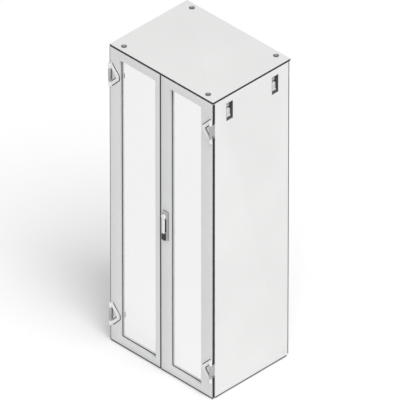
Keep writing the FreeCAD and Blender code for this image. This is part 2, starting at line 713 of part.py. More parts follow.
def frame_screws():
    """Screws of the hinge brackets and of the gland plates."""
    screws = []
    for side in (-1, 1):
        for x, z in bracket_screw_places(side):
            head_y = FRAME_FRONT - BRACKET_FOOT
            screws.append(screw((x, head_y, z), Y_AXIS, HINGE_SCREW_RADIUS, 10.0, 5.0, 3.0))
    for x, y in gland_screw_places():
        screws.append(screw((x, y, BASE_HEIGHT + GLAND_PLATE_THICKNESS), -Z_AXIS, 2.5, 8.0, 5.0, 3.0))
    export("frame_screws", *screws)


def arm_screw_places():
    """The pair of screws at the apex of each right-hand hinge arm."""
    x = HALF_WIDTH - ARM_SCREW_INSET
    return [(x, hinge_z + offset) for hinge_z in HINGE_HEIGHTS for offset in (-7.0, 7.0)]


def hinge_arm(hinge_z):
    """Right-hand bow on the door: a trapezoid plate with an open middle, and two knuckles."""
    spans = knuckle_spans(hinge_z)
    top = hinge_z + HINGE_HALF_HEIGHT
    bottom = hinge_z - HINGE_HALF_HEIGHT
    front = DOOR_FRONT - ARM_THICKNESS
    inner_x = HINGE_X - KNUCKLE_RADIUS
    apex_x = HALF_WIDTH - ARM_REACH
    outline = [
        (inner_x, front, bottom),
        (apex_x, front, hinge_z - ARM_APEX_HALF),
        (apex_x, front, hinge_z + ARM_APEX_HALF),
        (inner_x, front, top),
    ]
    opening = [
        (inner_x, front, bottom + 1.6 * ARM_BAND),
        (apex_x + ARM_BAND, front, hinge_z - ARM_APEX_HALF / 2),
        (apex_x + ARM_BAND, front, hinge_z + ARM_APEX_HALF / 2),
        (inner_x, front, top - 1.6 * ARM_BAND),
    ]
    thickness = Vector(0, ARM_THICKNESS, 0)
    arm = prism(outline, thickness).cut(prism(opening, thickness))
    low, high = spans["centre"]
    clear_low = spans["lower"][1]
    for name in ("lower", "upper"):
        start, end = spans[name]
        knuckle = rod(KNUCKLE_RADIUS, (HINGE_X, HINGE_Y, start), Z_AXIS, end - start)
        seat = block((inner_x, HINGE_Y, start), (HINGE_X, DOOR_FRONT, end))
        arm = arm.fuse([knuckle, seat])
    slot_edge = inner_x - NOTCH_MARGIN
    arm = arm.cut(block((slot_edge, front, clear_low), (HALF_WIDTH, DOOR_FRONT, high + KNUCKLE_GAP)))
    bore = rod(PIN_RADIUS + RUNNING_CLEARANCE, (HINGE_X, HINGE_Y, bottom), Z_AXIS, top - bottom)
    arm = arm.cut(bore)
    radius = HINGE_SCREW_RADIUS + SCREW_CLEARANCE
    return drill(arm, radius, arm_screw_places(), Y_AXIS, DOOR_FRONT - 6.0, 6.0)


def notches(side):
    """Blocks that clear the hinge brackets out of a door skin."""
    shapes = []
    for hinge_z in HINGE_HEIGHTS:
        low, high = knuckle_spans(hinge_z)["centre"]
        shapes.append(
            block(
                (side * (HALF_WIDTH - NOTCH_WIDTH), DOOR_FRONT, low - NOTCH_MARGIN),
                (side * HALF_WIDTH, DOOR_FRONT + DOOR_FLANGE, high + NOTCH_MARGIN),
            )
        )
    return shapes


# ---------------------------------------------------------------- doors


def door_screw_places(door):
    """Screws that hold the hinge arms through the tube frame, on this door's own side."""
    return [(door.side * x, z) for x, z in arm_screw_places()]


def door_skin(door):
    low = (door.meeting_x, DOOR_FRONT, FLOOR_GAP)
    skin = tray(low, (door.outer_x, DOOR_FRONT + DOOR_FLANGE, SKIN_TOP), SHEET, (1, 1))
    back = DOOR_FRONT + WINDOW_RETURN
    lining = rounded(door.window(SHEET, DOOR_FRONT, back), WINDOW_CORNER + SHEET, Y_AXIS)
    opening = rounded(door.window(0, DOOR_FRONT, back), WINDOW_CORNER, Y_AXIS)
    skin = skin.fuse(lining).cut([opening] + notches(door.side))
    radius = HINGE_SCREW_RADIUS + SCREW_CLEARANCE
    skin = drill(skin, radius, door_screw_places(door), Y_AXIS, DOOR_FRONT, SHEET)
    if door.side > 0:
        skin = drill(skin, SPINDLE_RADIUS + 1.0, [(HANDLE_X, PIVOT_Z)], Y_AXIS, DOOR_FRONT, SHEET)
        radius = ESCUTCHEON_SCREW_RADIUS + SCREW_CLEARANCE
        places = [(HANDLE_X, ESCUTCHEON_SCREW_Z)]
        skin = drill(skin, radius, places, Y_AXIS, DOOR_FRONT, SHEET)
        skin = drill(skin, CYLINDER_RADIUS + 1.0, [(HANDLE_X, CYLINDER_Z)], Y_AXIS, DOOR_FRONT, SHEET)
    export(f"door_{door.name}_skin", skin)


def tube_frame(door):
    """Four hollow members round the window, behind the skin."""
    inner = door.window(TUBE_TO_WINDOW, DOOR_SKIN_BACK, TUBE_BACK).BoundBox
    outer = door.window(TUBE_TO_WINDOW + TUBE_WIDTH, DOOR_SKIN_BACK, TUBE_BACK).BoundBox
    front, back = DOOR_SKIN_BACK, TUBE_BACK
    members = [
        tube((outer.XMin, front, outer.ZMin), (inner.XMin, back, outer.ZMax), TUBE_WALL, 2),
        tube((inner.XMax, front, outer.ZMin), (outer.XMax, back, outer.ZMax), TUBE_WALL, 2),
        tube((inner.XMin, front, outer.ZMin), (inner.XMax, back, inner.ZMin), TUBE_WALL, 0),
        tube((inner.XMin, front, inner.ZMax), (inner.XMax, back, outer.ZMax), TUBE_WALL, 0),
    ]
    radius = HINGE_SCREW_RADIUS + SCREW_CLEARANCE
    places = door_screw_places(door)
    drilled = [drill(member, radius, places, Y_AXIS, front, TUBE_WALL) for member in members]
    export(f"door_{door.name}_tube_frame", *drilled)


def glazing(door):
    """Glass pane, the seal in front of it and the retainer frame behind it."""
    seal_front = DOOR_FRONT + WINDOW_RETURN
    seal = door.window(GLASS_OVERLAP, seal_front, GLASS_FRONT).cut(
        rounded(door.window(0, seal_front, GLASS_FRONT), WINDOW_CORNER, Y_AXIS)
    )
    export(f"door_{door.name}_glazing_seal", seal)
    export(f"door_{door.name}_glass", door.window(GLASS_OVERLAP, GLASS_FRONT, GLASS_BACK))
    retainer_back = GLASS_BACK + RETAINER_THICKNESS
    retainer = door.window(RETAINER_WIDTH, seal_front, retainer_back)
    retainer = retainer.cut(door.window(RETAINER_LIP, seal_front, retainer_back))
    pocket = door.window(GLASS_OVERLAP + GLASS_EDGE_GAP, seal_front, GLASS_BACK)
    retainer = retainer.cut(pocket)
    radius = 2.0 + SCREW_CLEARANCE
    retainer = drill(retainer, radius, retainer_screw_places(door), Y_AXIS, seal_front, 20.0)
    export(f"door_{door.name}_glass_retainers", *quarter_ring(retainer, door, seal_front, retainer_back))


def quarter_ring(ring, door, front, back):
    """Split a ring round the window into two upright strips and two short ones between them."""
    inner = door.window(RETAINER_LIP, front, back).BoundBox
    outer = door.window(RETAINER_WIDTH, front, back).BoundBox
    spans = [
        ((outer.XMin, front, outer.ZMin), (inner.XMin, back, outer.ZMax)),
        ((inner.XMax, front, outer.ZMin), (outer.XMax, back, outer.ZMax)),
        ((inner.XMin, front, outer.ZMin), (inner.XMax, back, inner.ZMin)),
        ((inner.XMin, front, inner.ZMax), (inner.XMax, back, outer.ZMax)),
    ]
    return [ring.common(block(low, high)) for low, high in spans]


def retainer_screw_places(door):
    """Screws of the glass retainer along both long sides."""
    offset = (GLASS_OVERLAP + GLASS_EDGE_GAP + RETAINER_WIDTH) / 2
    box = door.window(offset, 0, 1).BoundBox
    count = 6
    step = (WINDOW_TOP - WINDOW_BOTTOM) / count
    heights = [WINDOW_BOTTOM + step * (i + 0.5) for i in range(count)]
    return [(x, z) for x in (box.XMin, box.XMax) for z in heights]


def door_screws(door):
    """Hinge arm screws and glass retainer screws of one door, and the handle's screw."""
    screws = []
    tube_reach = door.hinge_stile - TUBE_TO_WINDOW - TUBE_WIDTH
    seat_y = DOOR_SKIN_BACK + (TUBE_WALL if tube_reach < ARM_SCREW_INSET else 0.0)
    for x, z in door_screw_places(door):
        length = seat_y - DOOR_FRONT + 5.5
        screws.append(screw((x, seat_y, z), -Y_AXIS, HINGE_SCREW_RADIUS, length, 4.5, 2.5))
    head_y = GLASS_BACK + RETAINER_THICKNESS
    for x, z in retainer_screw_places(door):
        screws.append(screw((x, head_y, z), -Y_AXIS, 2.0, head_y - TUBE_BACK, 3.5, 2.0))
    if door.side > 0:
        screws.append(escutcheon_screw())
    export(f"door_{door.name}_screws", *screws)


def door_gasket(door):
    """Foam on three sides of the door that meets the frame: hinge side, top and bottom."""
    outer_x = door.outer_x - door.side * DOOR_GASKET_INSET
    back = FRAME_FRONT - SOFT_CLEARANCE
    top = SKIN_TOP - TOP_GASKET_INSET
    bottom = FLOOR_GAP + BOTTOM_GASKET_INSET
    inner_x = outer_x - door.side * DOOR_GASKET_WIDTH
    end_x = door.meeting_x + door.side * 4.0
    width = DOOR_GASKET_WIDTH
    upright = block((outer_x, DOOR_SKIN_BACK, bottom), (inner_x, back, top))
    upper = block((inner_x, DOOR_SKIN_BACK, top - width), (end_x, back, top))
    lower = block((inner_x, DOOR_SKIN_BACK, bottom), (end_x, back, bottom + width))
    export(f"door_{door.name}_gasket", upright.fuse([upper, lower]).removeSplitter())


def hinge_arms(door):
    arms = []
    for hinge_z in HINGE_HEIGHTS:
        arms.append(on_both_sides(hinge_arm(hinge_z))[0 if door.side > 0 else 1])
    export(f"door_{door.name}_hinge_arms", *arms)


# ---------------------------------------------------------------- handle and rod lock


def escutcheon():
    low_x = HANDLE_X - ESCUTCHEON_WIDTH / 2
    low = (low_x, ESCUTCHEON_FRONT, ESCUTCHEON_BOTTOM)
    body = rounded(block(low, (low_x + ESCUTCHEON_WIDTH, DOOR_FRONT, ESCUTCHEON_TOP)), 6.0, Y_AXIS)
    half = ESCUTCHEON_WIDTH / 2 - ESCUTCHEON_RIM
    low = (HANDLE_X - half, ESCUTCHEON_FRONT, LOCK_BLOCK_TOP + 3.0)
    high = (HANDLE_X + half, ESCUTCHEON_FRONT + GRIP_SCOOP, PIVOT_Z - HEAD_RADIUS - 3.0)
    body = body.cut(rounded(block(low, high), 6.0, Y_AXIS))
    body = drill(body, SPINDLE_RADIUS + RUNNING_CLEARANCE, [(HANDLE_X, PIVOT_Z)], Y_AXIS, low[1], 20.0)
    radius = ESCUTCHEON_SCREW_RADIUS + SCREW_CLEARANCE
    body = drill(body, radius, [(HANDLE_X, ESCUTCHEON_SCREW_Z)], Y_AXIS, DOOR_FRONT - 8.0, 8.0)
    radius = CYLINDER_RADIUS + RUNNING_CLEARANCE
    body = drill(body, radius, [(HANDLE_X, CYLINDER_Z)], Y_AXIS, ESCUTCHEON_FRONT, ESCUTCHEON_DEPTH)
    export("handle_escutcheon", body)


def lock_block_and_cylinder():
    half = LOCK_BLOCK_WIDTH / 2
    front = ESCUTCHEON_FRONT - LOCK_BLOCK_DEPTH
    low = (HANDLE_X - half, front, LOCK_BLOCK_BOTTOM)
    body = rounded(block(low, (HANDLE_X + half, ESCUTCHEON_FRONT, LOCK_BLOCK_TOP)), 3.0, Y_AXIS)
    radius = CYLINDER_RADIUS + RUNNING_CLEARANCE
    body = drill(body, radius, [(HANDLE_X, CYLINDER_Z)], Y_AXIS, front, LOCK_BLOCK_DEPTH)
    export("handle_lock_block", body)
    cylinder = rod(CYLINDER_RADIUS, (HANDLE_X, front, CYLINDER_Z), Y_AXIS, DOOR_SKIN_BACK - front)
    cam = block((HANDLE_X - 4.0, DOOR_SKIN_BACK, CYLINDER_Z - 20.0),
                (HANDLE_X + 4.0, DOOR_SKIN_BACK + 4.0, CYLINDER_Z + 8.0))
    slot = block((HANDLE_X - 0.8, front, CYLINDER_Z - 4.5), (HANDLE_X + 0.8, front + 6.0, CYLINDER_Z + 4.5))
    export("lock_cylinder", cylinder.fuse(cam).cut(slot))


def involute_pinion(y0, y1):
    """Spur pinion about the spindle axis, with shortened involute teeth."""
    base = PITCH_RADIUS * math.cos(PRESSURE_ANGLE)
    tip = PITCH_RADIUS + GEAR_ADDENDUM
    root = PITCH_RADIUS - GEAR_DEDENDUM - 0.1
    half_angle = (TOOTH_PITCH / 2 - GEAR_BACKLASH) / 2 / PITCH_RADIUS
    spread = math.tan(PRESSURE_ANGLE) - PRESSURE_ANGLE
    flank = [(root, half_angle + spread)]
    steps = 6
    for i in range(steps + 1):
        radius = base + (tip - base) * i / steps
        pressure = math.acos(base / radius)
        flank.append((radius, half_angle + spread - (math.tan(pressure) - pressure)))
    points = []
    for tooth in range(PINION_TEETH):
        middle = 2 * math.pi * tooth / PINION_TEETH
        polar = [(r, middle - a) for r, a in flank] + [(r, middle + a) for r, a in reversed(flank)]
        points += [(HANDLE_X + r * math.cos(a), y0, PIVOT_Z + r * math.sin(a)) for r, a in polar]
    return prism(points, Vector(0, y1 - y0, 0))


def spindle():
    """Pivot head in front of the escutcheon, round shaft through the door, pinion in the lock case."""
    head_front = LEVER_BACK - HEAD_DEPTH
    head = rod(HEAD_RADIUS, (HANDLE_X, head_front, PIVOT_Z), Y_AXIS, HEAD_DEPTH)
    head = head.makeFillet(2.0, [e for e in head.Edges if abs(e.BoundBox.YMax - head_front) < 0.01])
    half = TONGUE_WIDTH / 2 + 0.3
    slot = block((HANDLE_X - half, head_front, PIVOT_Z - HEAD_RADIUS),
                 (HANDLE_X + half, LEVER_BACK, LEVER_PIN_Z + TONGUE_RADIUS + FREE_CLEARANCE))
    case_back = ROD_REAR_Y + FREE_CLEARANCE + CASE_WALL
    shaft = rod(SPINDLE_RADIUS, (HANDLE_X, LEVER_BACK, PIVOT_Z), Y_AXIS, case_back - LEVER_BACK)
    pin_hole = rod(LEVER_PIN_RADIUS + 0.01, (HANDLE_X - 20.0, LEVER_PIN_Y, LEVER_PIN_Z), X_AXIS, 40.0)
    pinion = involute_pinion(ROD_FRONT_Y, ROD_REAR_Y)
    export("handle_spindle", head.cut(slot).fuse([shaft, pinion]).cut(pin_hole))
    pin_half = math.sqrt(HEAD_RADIUS ** 2 - LEVER_PIN_DROP ** 2) - 2.0
    pin = rod(LEVER_PIN_RADIUS, (HANDLE_X - pin_half, LEVER_PIN_Y, LEVER_PIN_Z), X_AXIS, 2 * pin_half)
    export("lever_pivot_pin", pin)


def lever():
    """Straight grip that hangs from the pivot head on a narrow tongue."""
    half = LEVER_WIDTH / 2
    shoulder_z = LEVER_PIN_Z - LEVER_SHOULDER_DROP
    low = (HANDLE_X - half, LEVER_BACK - LEVER_DEPTH, LEVER_TIP_Z)
    grip = rounded(block(low, (HANDLE_X + half, LEVER_BACK, shoulder_z)), 3.0, Z_AXIS)
    tongue_low = HANDLE_X - TONGUE_WIDTH / 2
    tongue = block((tongue_low, LEVER_PIN_Y - TONGUE_RADIUS, shoulder_z - 1.0),
                   (tongue_low + TONGUE_WIDTH, LEVER_PIN_Y + TONGUE_RADIUS, LEVER_PIN_Z))
    eye = rod(TONGUE_RADIUS, (tongue_low, LEVER_PIN_Y, LEVER_PIN_Z), X_AXIS, TONGUE_WIDTH)
    hole_start = (tongue_low, LEVER_PIN_Y, LEVER_PIN_Z)
    hole = rod(LEVER_PIN_RADIUS + RUNNING_CLEARANCE, hole_start, X_AXIS, TONGUE_WIDTH)
    export("handle_lever", grip.fuse([tongue, eye]).cut(hole))


def lock_case():
    """Open-ended case round the pinion, on one pillar that takes the escutcheon screw."""
    half = ROD_BACK_OFFSET + FREE_CLEARANCE
    front = ROD_FRONT_Y - FREE_CLEARANCE - CASE_WALL
    back = ROD_REAR_Y + FREE_CLEARANCE + CASE_WALL
    low = (HANDLE_X - half - CASE_WALL, front, PIVOT_Z - CASE_HALF_HEIGHT)
    high = (HANDLE_X + half + CASE_WALL, back, PIVOT_Z + CASE_HALF_HEIGHT)
    case = tube(low, high, CASE_WALL, 2)
    pillar = rod(LOCK_STANDOFF_RADIUS, (HANDLE_X, DOOR_SKIN_BACK, ESCUTCHEON_SCREW_Z), Y_AXIS,
                 back - DOOR_SKIN_BACK)
    case = case.fuse(pillar)
    case = drill(case, SPINDLE_RADIUS + RUNNING_CLEARANCE, [(HANDLE_X, PIVOT_Z)], Y_AXIS, front, 30.0)
    radius = ESCUTCHEON_SCREW_RADIUS + SCREW_CLEARANCE
    case = drill(case, radius, [(HANDLE_X, ESCUTCHEON_SCREW_Z)], Y_AXIS, DOOR_SKIN_BACK, 40.0)
    export("lock_case", case)


def escutcheon_screw():
    """Long screw from the back of the lock case into the escutcheon."""
    back = ROD_REAR_Y + FREE_CLEARANCE + CASE_WALL
    length = back - DOOR_FRONT + 7.0
    return screw((HANDLE_X, back, ESCUTCHEON_SCREW_Z), -Y_AXIS, ESCUTCHEON_SCREW_RADIUS, length, 4.5, 3.0)


def lock_rod(side, direction):
    """Toothed flat rod. side is -1 left of the pinion, +1 right; direction is +1 up, -1 down."""
    pitch_x = HANDLE_X + side * PITCH_RADIUS
    root_x = pitch_x + side * GEAR_DEDENDUM
    back_x = root_x + side * ROD_THICKNESS
    tip_z = (ROOF_FRAME_BOTTOM - KEEPER_THICKNESS - ROD_TIP_GAP if direction > 0
             else BASE_HEIGHT + GLAND_PLATE_THICKNESS + KEEPER_THICKNESS + ROD_TIP_GAP)
    start_z = PIVOT_Z - direction * 2.5 * TOOTH_PITCH
    bar = block((root_x, ROD_FRONT_Y, start_z), (back_x, ROD_REAR_Y, tip_z))
    teeth = []
    slope = math.tan(PRESSURE_ANGLE)
    half = (TOOTH_PITCH / 2 - GEAR_BACKLASH) / 2
    tip_half = half - GEAR_ADDENDUM * slope
    root_half = half + GEAR_DEDENDUM * slope
    tip_x = pitch_x - side * GEAR_ADDENDUM
    for tooth in range(UPPER_RACK_TEETH):
        z = PIVOT_Z + direction * (tooth - 1.5) * TOOTH_PITCH
        outline = [(root_x, ROD_FRONT_Y, z - root_half), (tip_x, ROD_FRONT_Y, z - tip_half),
                   (tip_x, ROD_FRONT_Y, z + tip_half), (root_x, ROD_FRONT_Y, z + root_half)]
        teeth.append(prism(outline, Vector(0, ROD_DEPTH, 0)))
    return bar.fuse(teeth).removeSplitter()


def rod_guides():
    """Blocks that guide both rods, spaced off the inside of the door skin."""
    guides = []
    clearance = 0.25
    for z in (PIVOT_Z + 420.0, PIVOT_Z + 840.0, PIVOT_Z - 420.0, PIVOT_Z - 840.0):
        side = -1 if z > PIVOT_Z else 1
        outer = HANDLE_X + side * (ROD_BACK_OFFSET + 2.0)
        inner = HANDLE_X + side * (PITCH_RADIUS + GEAR_DEDENDUM - 2.0)
        back = ROD_REAR_Y + 2.0
        foot_inner = HANDLE_X + side * (PITCH_RADIUS - 8.0)
        foot_outer = HANDLE_X + side * 9.5
        foot = block((foot_inner, DOOR_SKIN_BACK, z), (foot_outer, ROD_FRONT_Y - clearance, z + 20.0))
        loop = block((inner, TUBE_BACK + FREE_CLEARANCE / 2, z), (outer, back, z + 20.0))
        way_inner = HANDLE_X + side * (PITCH_RADIUS + GEAR_DEDENDUM - clearance)
        way_outer = HANDLE_X + side * (ROD_BACK_OFFSET + clearance)
        way = block((way_inner, ROD_FRONT_Y - clearance, z), (way_outer, ROD_REAR_Y + clearance, z + 20.0))
        guides.append(loop.fuse(foot).cut(way))
    export("rod_guides", *guides)


def rod_keepers():
    """Striking plates for the rods and the shoot bolts, on the roof frame and the base frame."""
    keepers = []
    rod_x = PITCH_RADIUS + GEAR_DEDENDUM + ROD_THICKNESS / 2
    front = TUBE_BACK
    back = ROD_REAR_Y + 6.0
    base_top = BASE_HEIGHT + GLAND_PLATE_THICKNESS
    for x in (HANDLE_X - rod_x, BOLT_X):
        low = (x - 10.0, front, ROOF_FRAME_BOTTOM - KEEPER_THICKNESS)
        plate = block(low, (x + 10.0, back, ROOF_FRAME_BOTTOM))
        mouth = block((x - 3.5, ROD_FRONT_Y - 1.0, low[2]),
                      (x + 3.5, ROD_REAR_Y + 1.0, low[2] + KEEPER_THICKNESS))
        keepers.append(plate.cut(mouth))
    for x in (HANDLE_X + rod_x, BOLT_X):
        low = (x - 10.0, front, BASE_HEIGHT)
        plate = block(low, (x + 10.0, back, base_top + KEEPER_THICKNESS))
        mouth = block((x - 3.5, ROD_FRONT_Y - 1.0, base_top),
                      (x + 3.5, ROD_REAR_Y + 1.0, base_top + KEEPER_THICKNESS))
        keepers.append(plate.cut(mouth))
    export("rod_keepers", *keepers)


def shoot_bolt(direction):
    """Flat bolt of the passive door with a finger tab, pushed into the frame's keeper."""
    half = BOLT_WIDTH / 2
    if direction > 0:
        tip_z = ROOF_FRAME_BOTTOM - KEEPER_THICKNESS - ROD_TIP_GAP
    else:
        tip_z = BASE_HEIGHT + GLAND_PLATE_THICKNESS + KEEPER_THICKNESS + ROD_TIP_GAP
    end_z = tip_z - direction * BOLT_LENGTH
    bar = block((BOLT_X - half, ROD_FRONT_Y, tip_z), (BOLT_X + half, ROD_FRONT_Y + 5.0, end_z))
    tab = block((BOLT_X - half, ROD_FRONT_Y + 4.0, end_z),
                (BOLT_X + half, ROD_FRONT_Y + 18.0, end_z + direction * 4.0))
    return bar.fuse(tab).removeSplitter()


def shoot_bolt_guides():
    """Two loops per shoot bolt, fixed to the passive door's tube frame."""
    guides = []
    half = BOLT_WIDTH / 2 + 0.25
    foot_x = LEFT_DOOR.window_inner_x + RETAINER_WIDTH + FREE_CLEARANCE
    for z in (ROOF_FRAME_BOTTOM - 70.0, ROOF_FRAME_BOTTOM - 180.0, BASE_HEIGHT + 60.0, BASE_HEIGHT + 150.0):
        low = (foot_x, TUBE_BACK, z)
        loop = block(low, (BOLT_X + half + GUIDE_WALL, ROD_FRONT_Y + 5.25 + GUIDE_WALL, z + GUIDE_HEIGHT))
        way = block((BOLT_X - half, ROD_FRONT_Y - 0.25, z),
                    (BOLT_X + half, ROD_FRONT_Y + 5.25, z + GUIDE_HEIGHT))
        guides.append(loop.cut(way))
    export("shoot_bolt_guides", *guides)


# ---------------------------------------------------------------- side panels


def side_panel():
    """Right-hand panel: a sheet with two latch openings, and the four flanges behind its edges."""
    front = FRAME_FRONT + SIDE_FRONT_GAP
    rear = REAR_FACE - REAR_FLANGE
    inner_x = HALF_WIDTH - SIDE_FLANGE
    outline = block((inner_x, front, FLOOR_GAP), (HALF_WIDTH, rear, SKIN_TOP))
    hollow = block((inner_x, front + SHEET, FLOOR_GAP + SHEET),
                   (HALF_WIDTH - SHEET, rear - SHEET, SKIN_TOP - SHEET))
    outline = round_bottom_rear(outline, rear, FLOOR_GAP, PANEL_CORNER)
    hollow = round_bottom_rear(hollow, rear - SHEET, FLOOR_GAP + SHEET, PANEL_CORNER - SHEET)
    panel = outline.cut(hollow)
    sheet_back = HALF_WIDTH - SHEET
    sheet = panel.common(block((sheet_back, front, FLOOR_GAP), (HALF_WIDTH, rear, SKIN_TOP)))
    half = LATCH_WIDTH / 2
    for y in LATCH_PLACES:
        low = (sheet_back, y - half, LATCH_BOTTOM)
        sheet = sheet.cut(block(low, (HALF_WIDTH, y + half, LATCH_BOTTOM + LATCH_HEIGHT)))
    sheet = drill(sheet, STUD_RADIUS - 1.0 + SCREW_CLEARANCE, [stud_place()], X_AXIS, sheet_back, SHEET)
    corner_z = FLOOR_GAP + PANEL_CORNER
    inside_z = SKIN_TOP - SHEET
    strips = [
        block((inner_x, front, FLOOR_GAP), (sheet_back, rear, corner_z)),
        block((inner_x, front, inside_z), (sheet_back, rear, SKIN_TOP)),
        block((inner_x, front, corner_z), (sheet_back, front + SHEET, inside_z)),
        block((inner_x, rear - SHEET, corner_z), (sheet_back, rear, inside_z)),
    ]
    return [sheet] + [panel.common(strip) for strip in strips]


def round_bottom_rear(shape, rear, bottom, radius):
    """Round the edge across the sheet at the bottom rear corner."""
    edges = [
        e for e in shape.Edges
        if abs(e.CenterOfMass.y - rear) < 0.01 and abs(e.CenterOfMass.z - bottom) < 0.01
    ]
    return shape.makeFillet(radius, edges)


def stud_place():
    return (HALF_DEPTH - 42.0, 40.0)


def latch_housing(y):
    """Open plastic pocket set into the side panel, with a slot in its back for the slider's stem."""
    half = LATCH_WIDTH / 2 - 0.1
    low = (HALF_WIDTH - LATCH_DEPTH, y - half, LATCH_BOTTOM + 0.1)
    high = (HALF_WIDTH, y + half, LATCH_BOTTOM + LATCH_HEIGHT - 0.1)
    housing = tray(low, high, LATCH_WALL, (0, 1))
    slider_low = LATCH_BOTTOM + SLIDER_BOTTOM
    slot = block((low[0], y - STEM_HALF_WIDTH - 0.3, slider_low - 0.3),
                 (low[0] + LATCH_WALL, y + STEM_HALF_WIDTH + 0.3, slider_low + 20.0 + LATCH_TRAVEL))
    shelf = block((HALF_WIDTH - 9.0, y - half, LATCH_BOTTOM + 0.1),
                  (HALF_WIDTH, y + half, LATCH_BOTTOM + SLIDER_BOTTOM - FREE_CLEARANCE))
    return housing.fuse(shelf).cut(slot)


def latch_slider(y):
    """Arched tile in the pocket, with a stem to the hook behind it."""
    low_z = LATCH_BOTTOM + SLIDER_BOTTOM
    back = HALF_WIDTH - LATCH_DEPTH + LATCH_WALL + 0.3
    half = SLIDER_WIDTH / 2
    arch = 8.0
    outline = [Vector(back, y - half, low_z), Vector(back, y + half, low_z),
               Vector(back, y + half, low_z + SLIDER_HEIGHT - arch)]
    left_top = Vector(back, y - half, low_z + SLIDER_HEIGHT - arch)
    crown = Part.Arc(outline[-1], Vector(back, y, low_z + SLIDER_HEIGHT), left_top).toShape()
    lines = [Part.makeLine(outline[0], outline[1]), Part.makeLine(outline[1], outline[2]),
             crown, Part.makeLine(left_top, outline[0])]
    tile = Part.Face(Part.Wire(lines)).extrude(Vector(SLIDER_THICKNESS, 0, 0))
    lip = block((back + SLIDER_THICKNESS, y - half, low_z),
                (back + SLIDER_THICKNESS + 6.0, y + half, low_z + 8.0))
    hook_x = HALF_WIDTH - LATCH_DEPTH - FREE_CLEARANCE
    stem = block((hook_x - TONGUE_THICKNESS, y - STEM_HALF_WIDTH, low_z),
                 (back, y + STEM_HALF_WIDTH, low_z + 19.0))
    hook = block((hook_x - TONGUE_THICKNESS, y - STEM_HALF_WIDTH, STRUT_HEIGHTS[0] + STRUT + ROD_TIP_GAP),
                 (hook_x, y + STEM_HALF_WIDTH, low_z + 19.0))
    return tile.fuse([lip, stem, hook]).removeSplitter()


def side_panels():
    panel_pieces = [on_both_sides(piece) for piece in side_panel()]
    y, z = stud_place()
    stud = screw((HALF_WIDTH, y, z), -X_AXIS, STUD_RADIUS - 1.0, 8.0, STUD_RADIUS, 2.0)
    studs = on_both_sides(stud)
    housings = [on_both_sides(latch_housing(place)) for place in LATCH_PLACES]
    for index, name in ((1, "left"), (0, "right")):
        export(f"side_panel_{name}", *[pair[index] for pair in panel_pieces])
        export(f"side_panel_{name}_stud", studs[index])
        export(f"latch_housings_{name}", *[pair[index] for pair in housings])
        for place, end in zip(LATCH_PLACES, ("front", "rear")):
            export(f"latch_slider_{name}_{end}", on_both_sides(latch_slider(place))[index])


def main():
    os.makedirs("parts", exist_ok=True)
    base_frame()
    roof_frame()
    posts()
    frame_struts()
    roof_panel()
    roof_screws()
    rear_covers()
    frame_gaskets()
    mounting_rails()
    mounting_plate()
    mounting_bolts()
    earth_bar()
    gland_plates()
    hinge_brackets_and_pins()
    frame_screws()
    rod_keepers()
    for door in (LEFT_DOOR, RIGHT_DOOR):
        door_skin(door)
        tube_frame(door)
        glazing(door)
        door_screws(door)
        door_gasket(door)
        hinge_arms(door)
    escutcheon()
    lock_block_and_cylinder()
    spindle()
    lever()
    lock_case()
    export("lock_rod_upper", lock_rod(-1, 1))
    export("lock_rod_lower", lock_rod(1, -1))
    rod_guides()
    export("shoot_bolt_upper", shoot_bolt(1))
    export("shoot_bolt_lower", shoot_bolt(-1))
    shoot_bolt_guides()
    side_panels()


main()
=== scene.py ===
"""Industrial switchboard cabinet with two glazed doors: finished pieces, finishes and studio.

Everything is in metres, in the frame's own axes: +X right, +Y to the rear, +Z up.
"""

import logging
import math
from collections.abc import Callable, Iterator
from contextlib import contextmanager
from dataclasses import dataclass
from enum import Enum

import bmesh
import bpy
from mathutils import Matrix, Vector


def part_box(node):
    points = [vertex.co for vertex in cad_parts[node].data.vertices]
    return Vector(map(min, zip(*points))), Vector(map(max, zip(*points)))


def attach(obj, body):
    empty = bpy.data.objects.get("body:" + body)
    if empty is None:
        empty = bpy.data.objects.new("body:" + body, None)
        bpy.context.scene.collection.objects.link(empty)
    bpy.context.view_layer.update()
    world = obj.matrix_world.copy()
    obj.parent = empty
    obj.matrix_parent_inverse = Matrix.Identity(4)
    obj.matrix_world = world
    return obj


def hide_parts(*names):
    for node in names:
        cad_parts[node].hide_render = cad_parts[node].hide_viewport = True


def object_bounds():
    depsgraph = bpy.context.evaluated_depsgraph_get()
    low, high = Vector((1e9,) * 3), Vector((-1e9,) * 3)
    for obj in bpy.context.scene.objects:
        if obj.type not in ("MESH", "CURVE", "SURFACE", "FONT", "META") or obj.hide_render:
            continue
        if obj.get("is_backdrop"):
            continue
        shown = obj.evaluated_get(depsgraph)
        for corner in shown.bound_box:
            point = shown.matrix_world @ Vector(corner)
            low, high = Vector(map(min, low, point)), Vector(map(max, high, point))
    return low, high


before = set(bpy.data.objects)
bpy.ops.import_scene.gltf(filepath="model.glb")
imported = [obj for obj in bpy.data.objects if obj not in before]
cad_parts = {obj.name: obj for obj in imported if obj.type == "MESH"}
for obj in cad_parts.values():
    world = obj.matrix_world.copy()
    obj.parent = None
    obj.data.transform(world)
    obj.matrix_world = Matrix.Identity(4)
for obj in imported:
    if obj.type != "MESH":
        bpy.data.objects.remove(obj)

LOG = logging.getLogger("cabinet")
MM = 0.001
PAST = 0.01  # how far a cutter reaches past what it cuts
NEAR = 1e-4  # slack in tests on a mesh's own corners
TRIM_PROUD = 0.7 * MM  # how far an edge profile stands out
TRIM_GAP = 0.02 * MM  # play between an edge profile and its sheet
TRIM_DEPTH = 9.0 * MM  # how far it reaches behind the sheet
TRIM_LEG = 4.6 * MM  # width of its leg on the face
FOLD_END = 20 * MM  # depth past the sheets' folds
Point = tuple[float, float, float]
Piece = bpy.types.Object
Socket = bpy.types.NodeSocket
Colour = tuple[float, float, float]
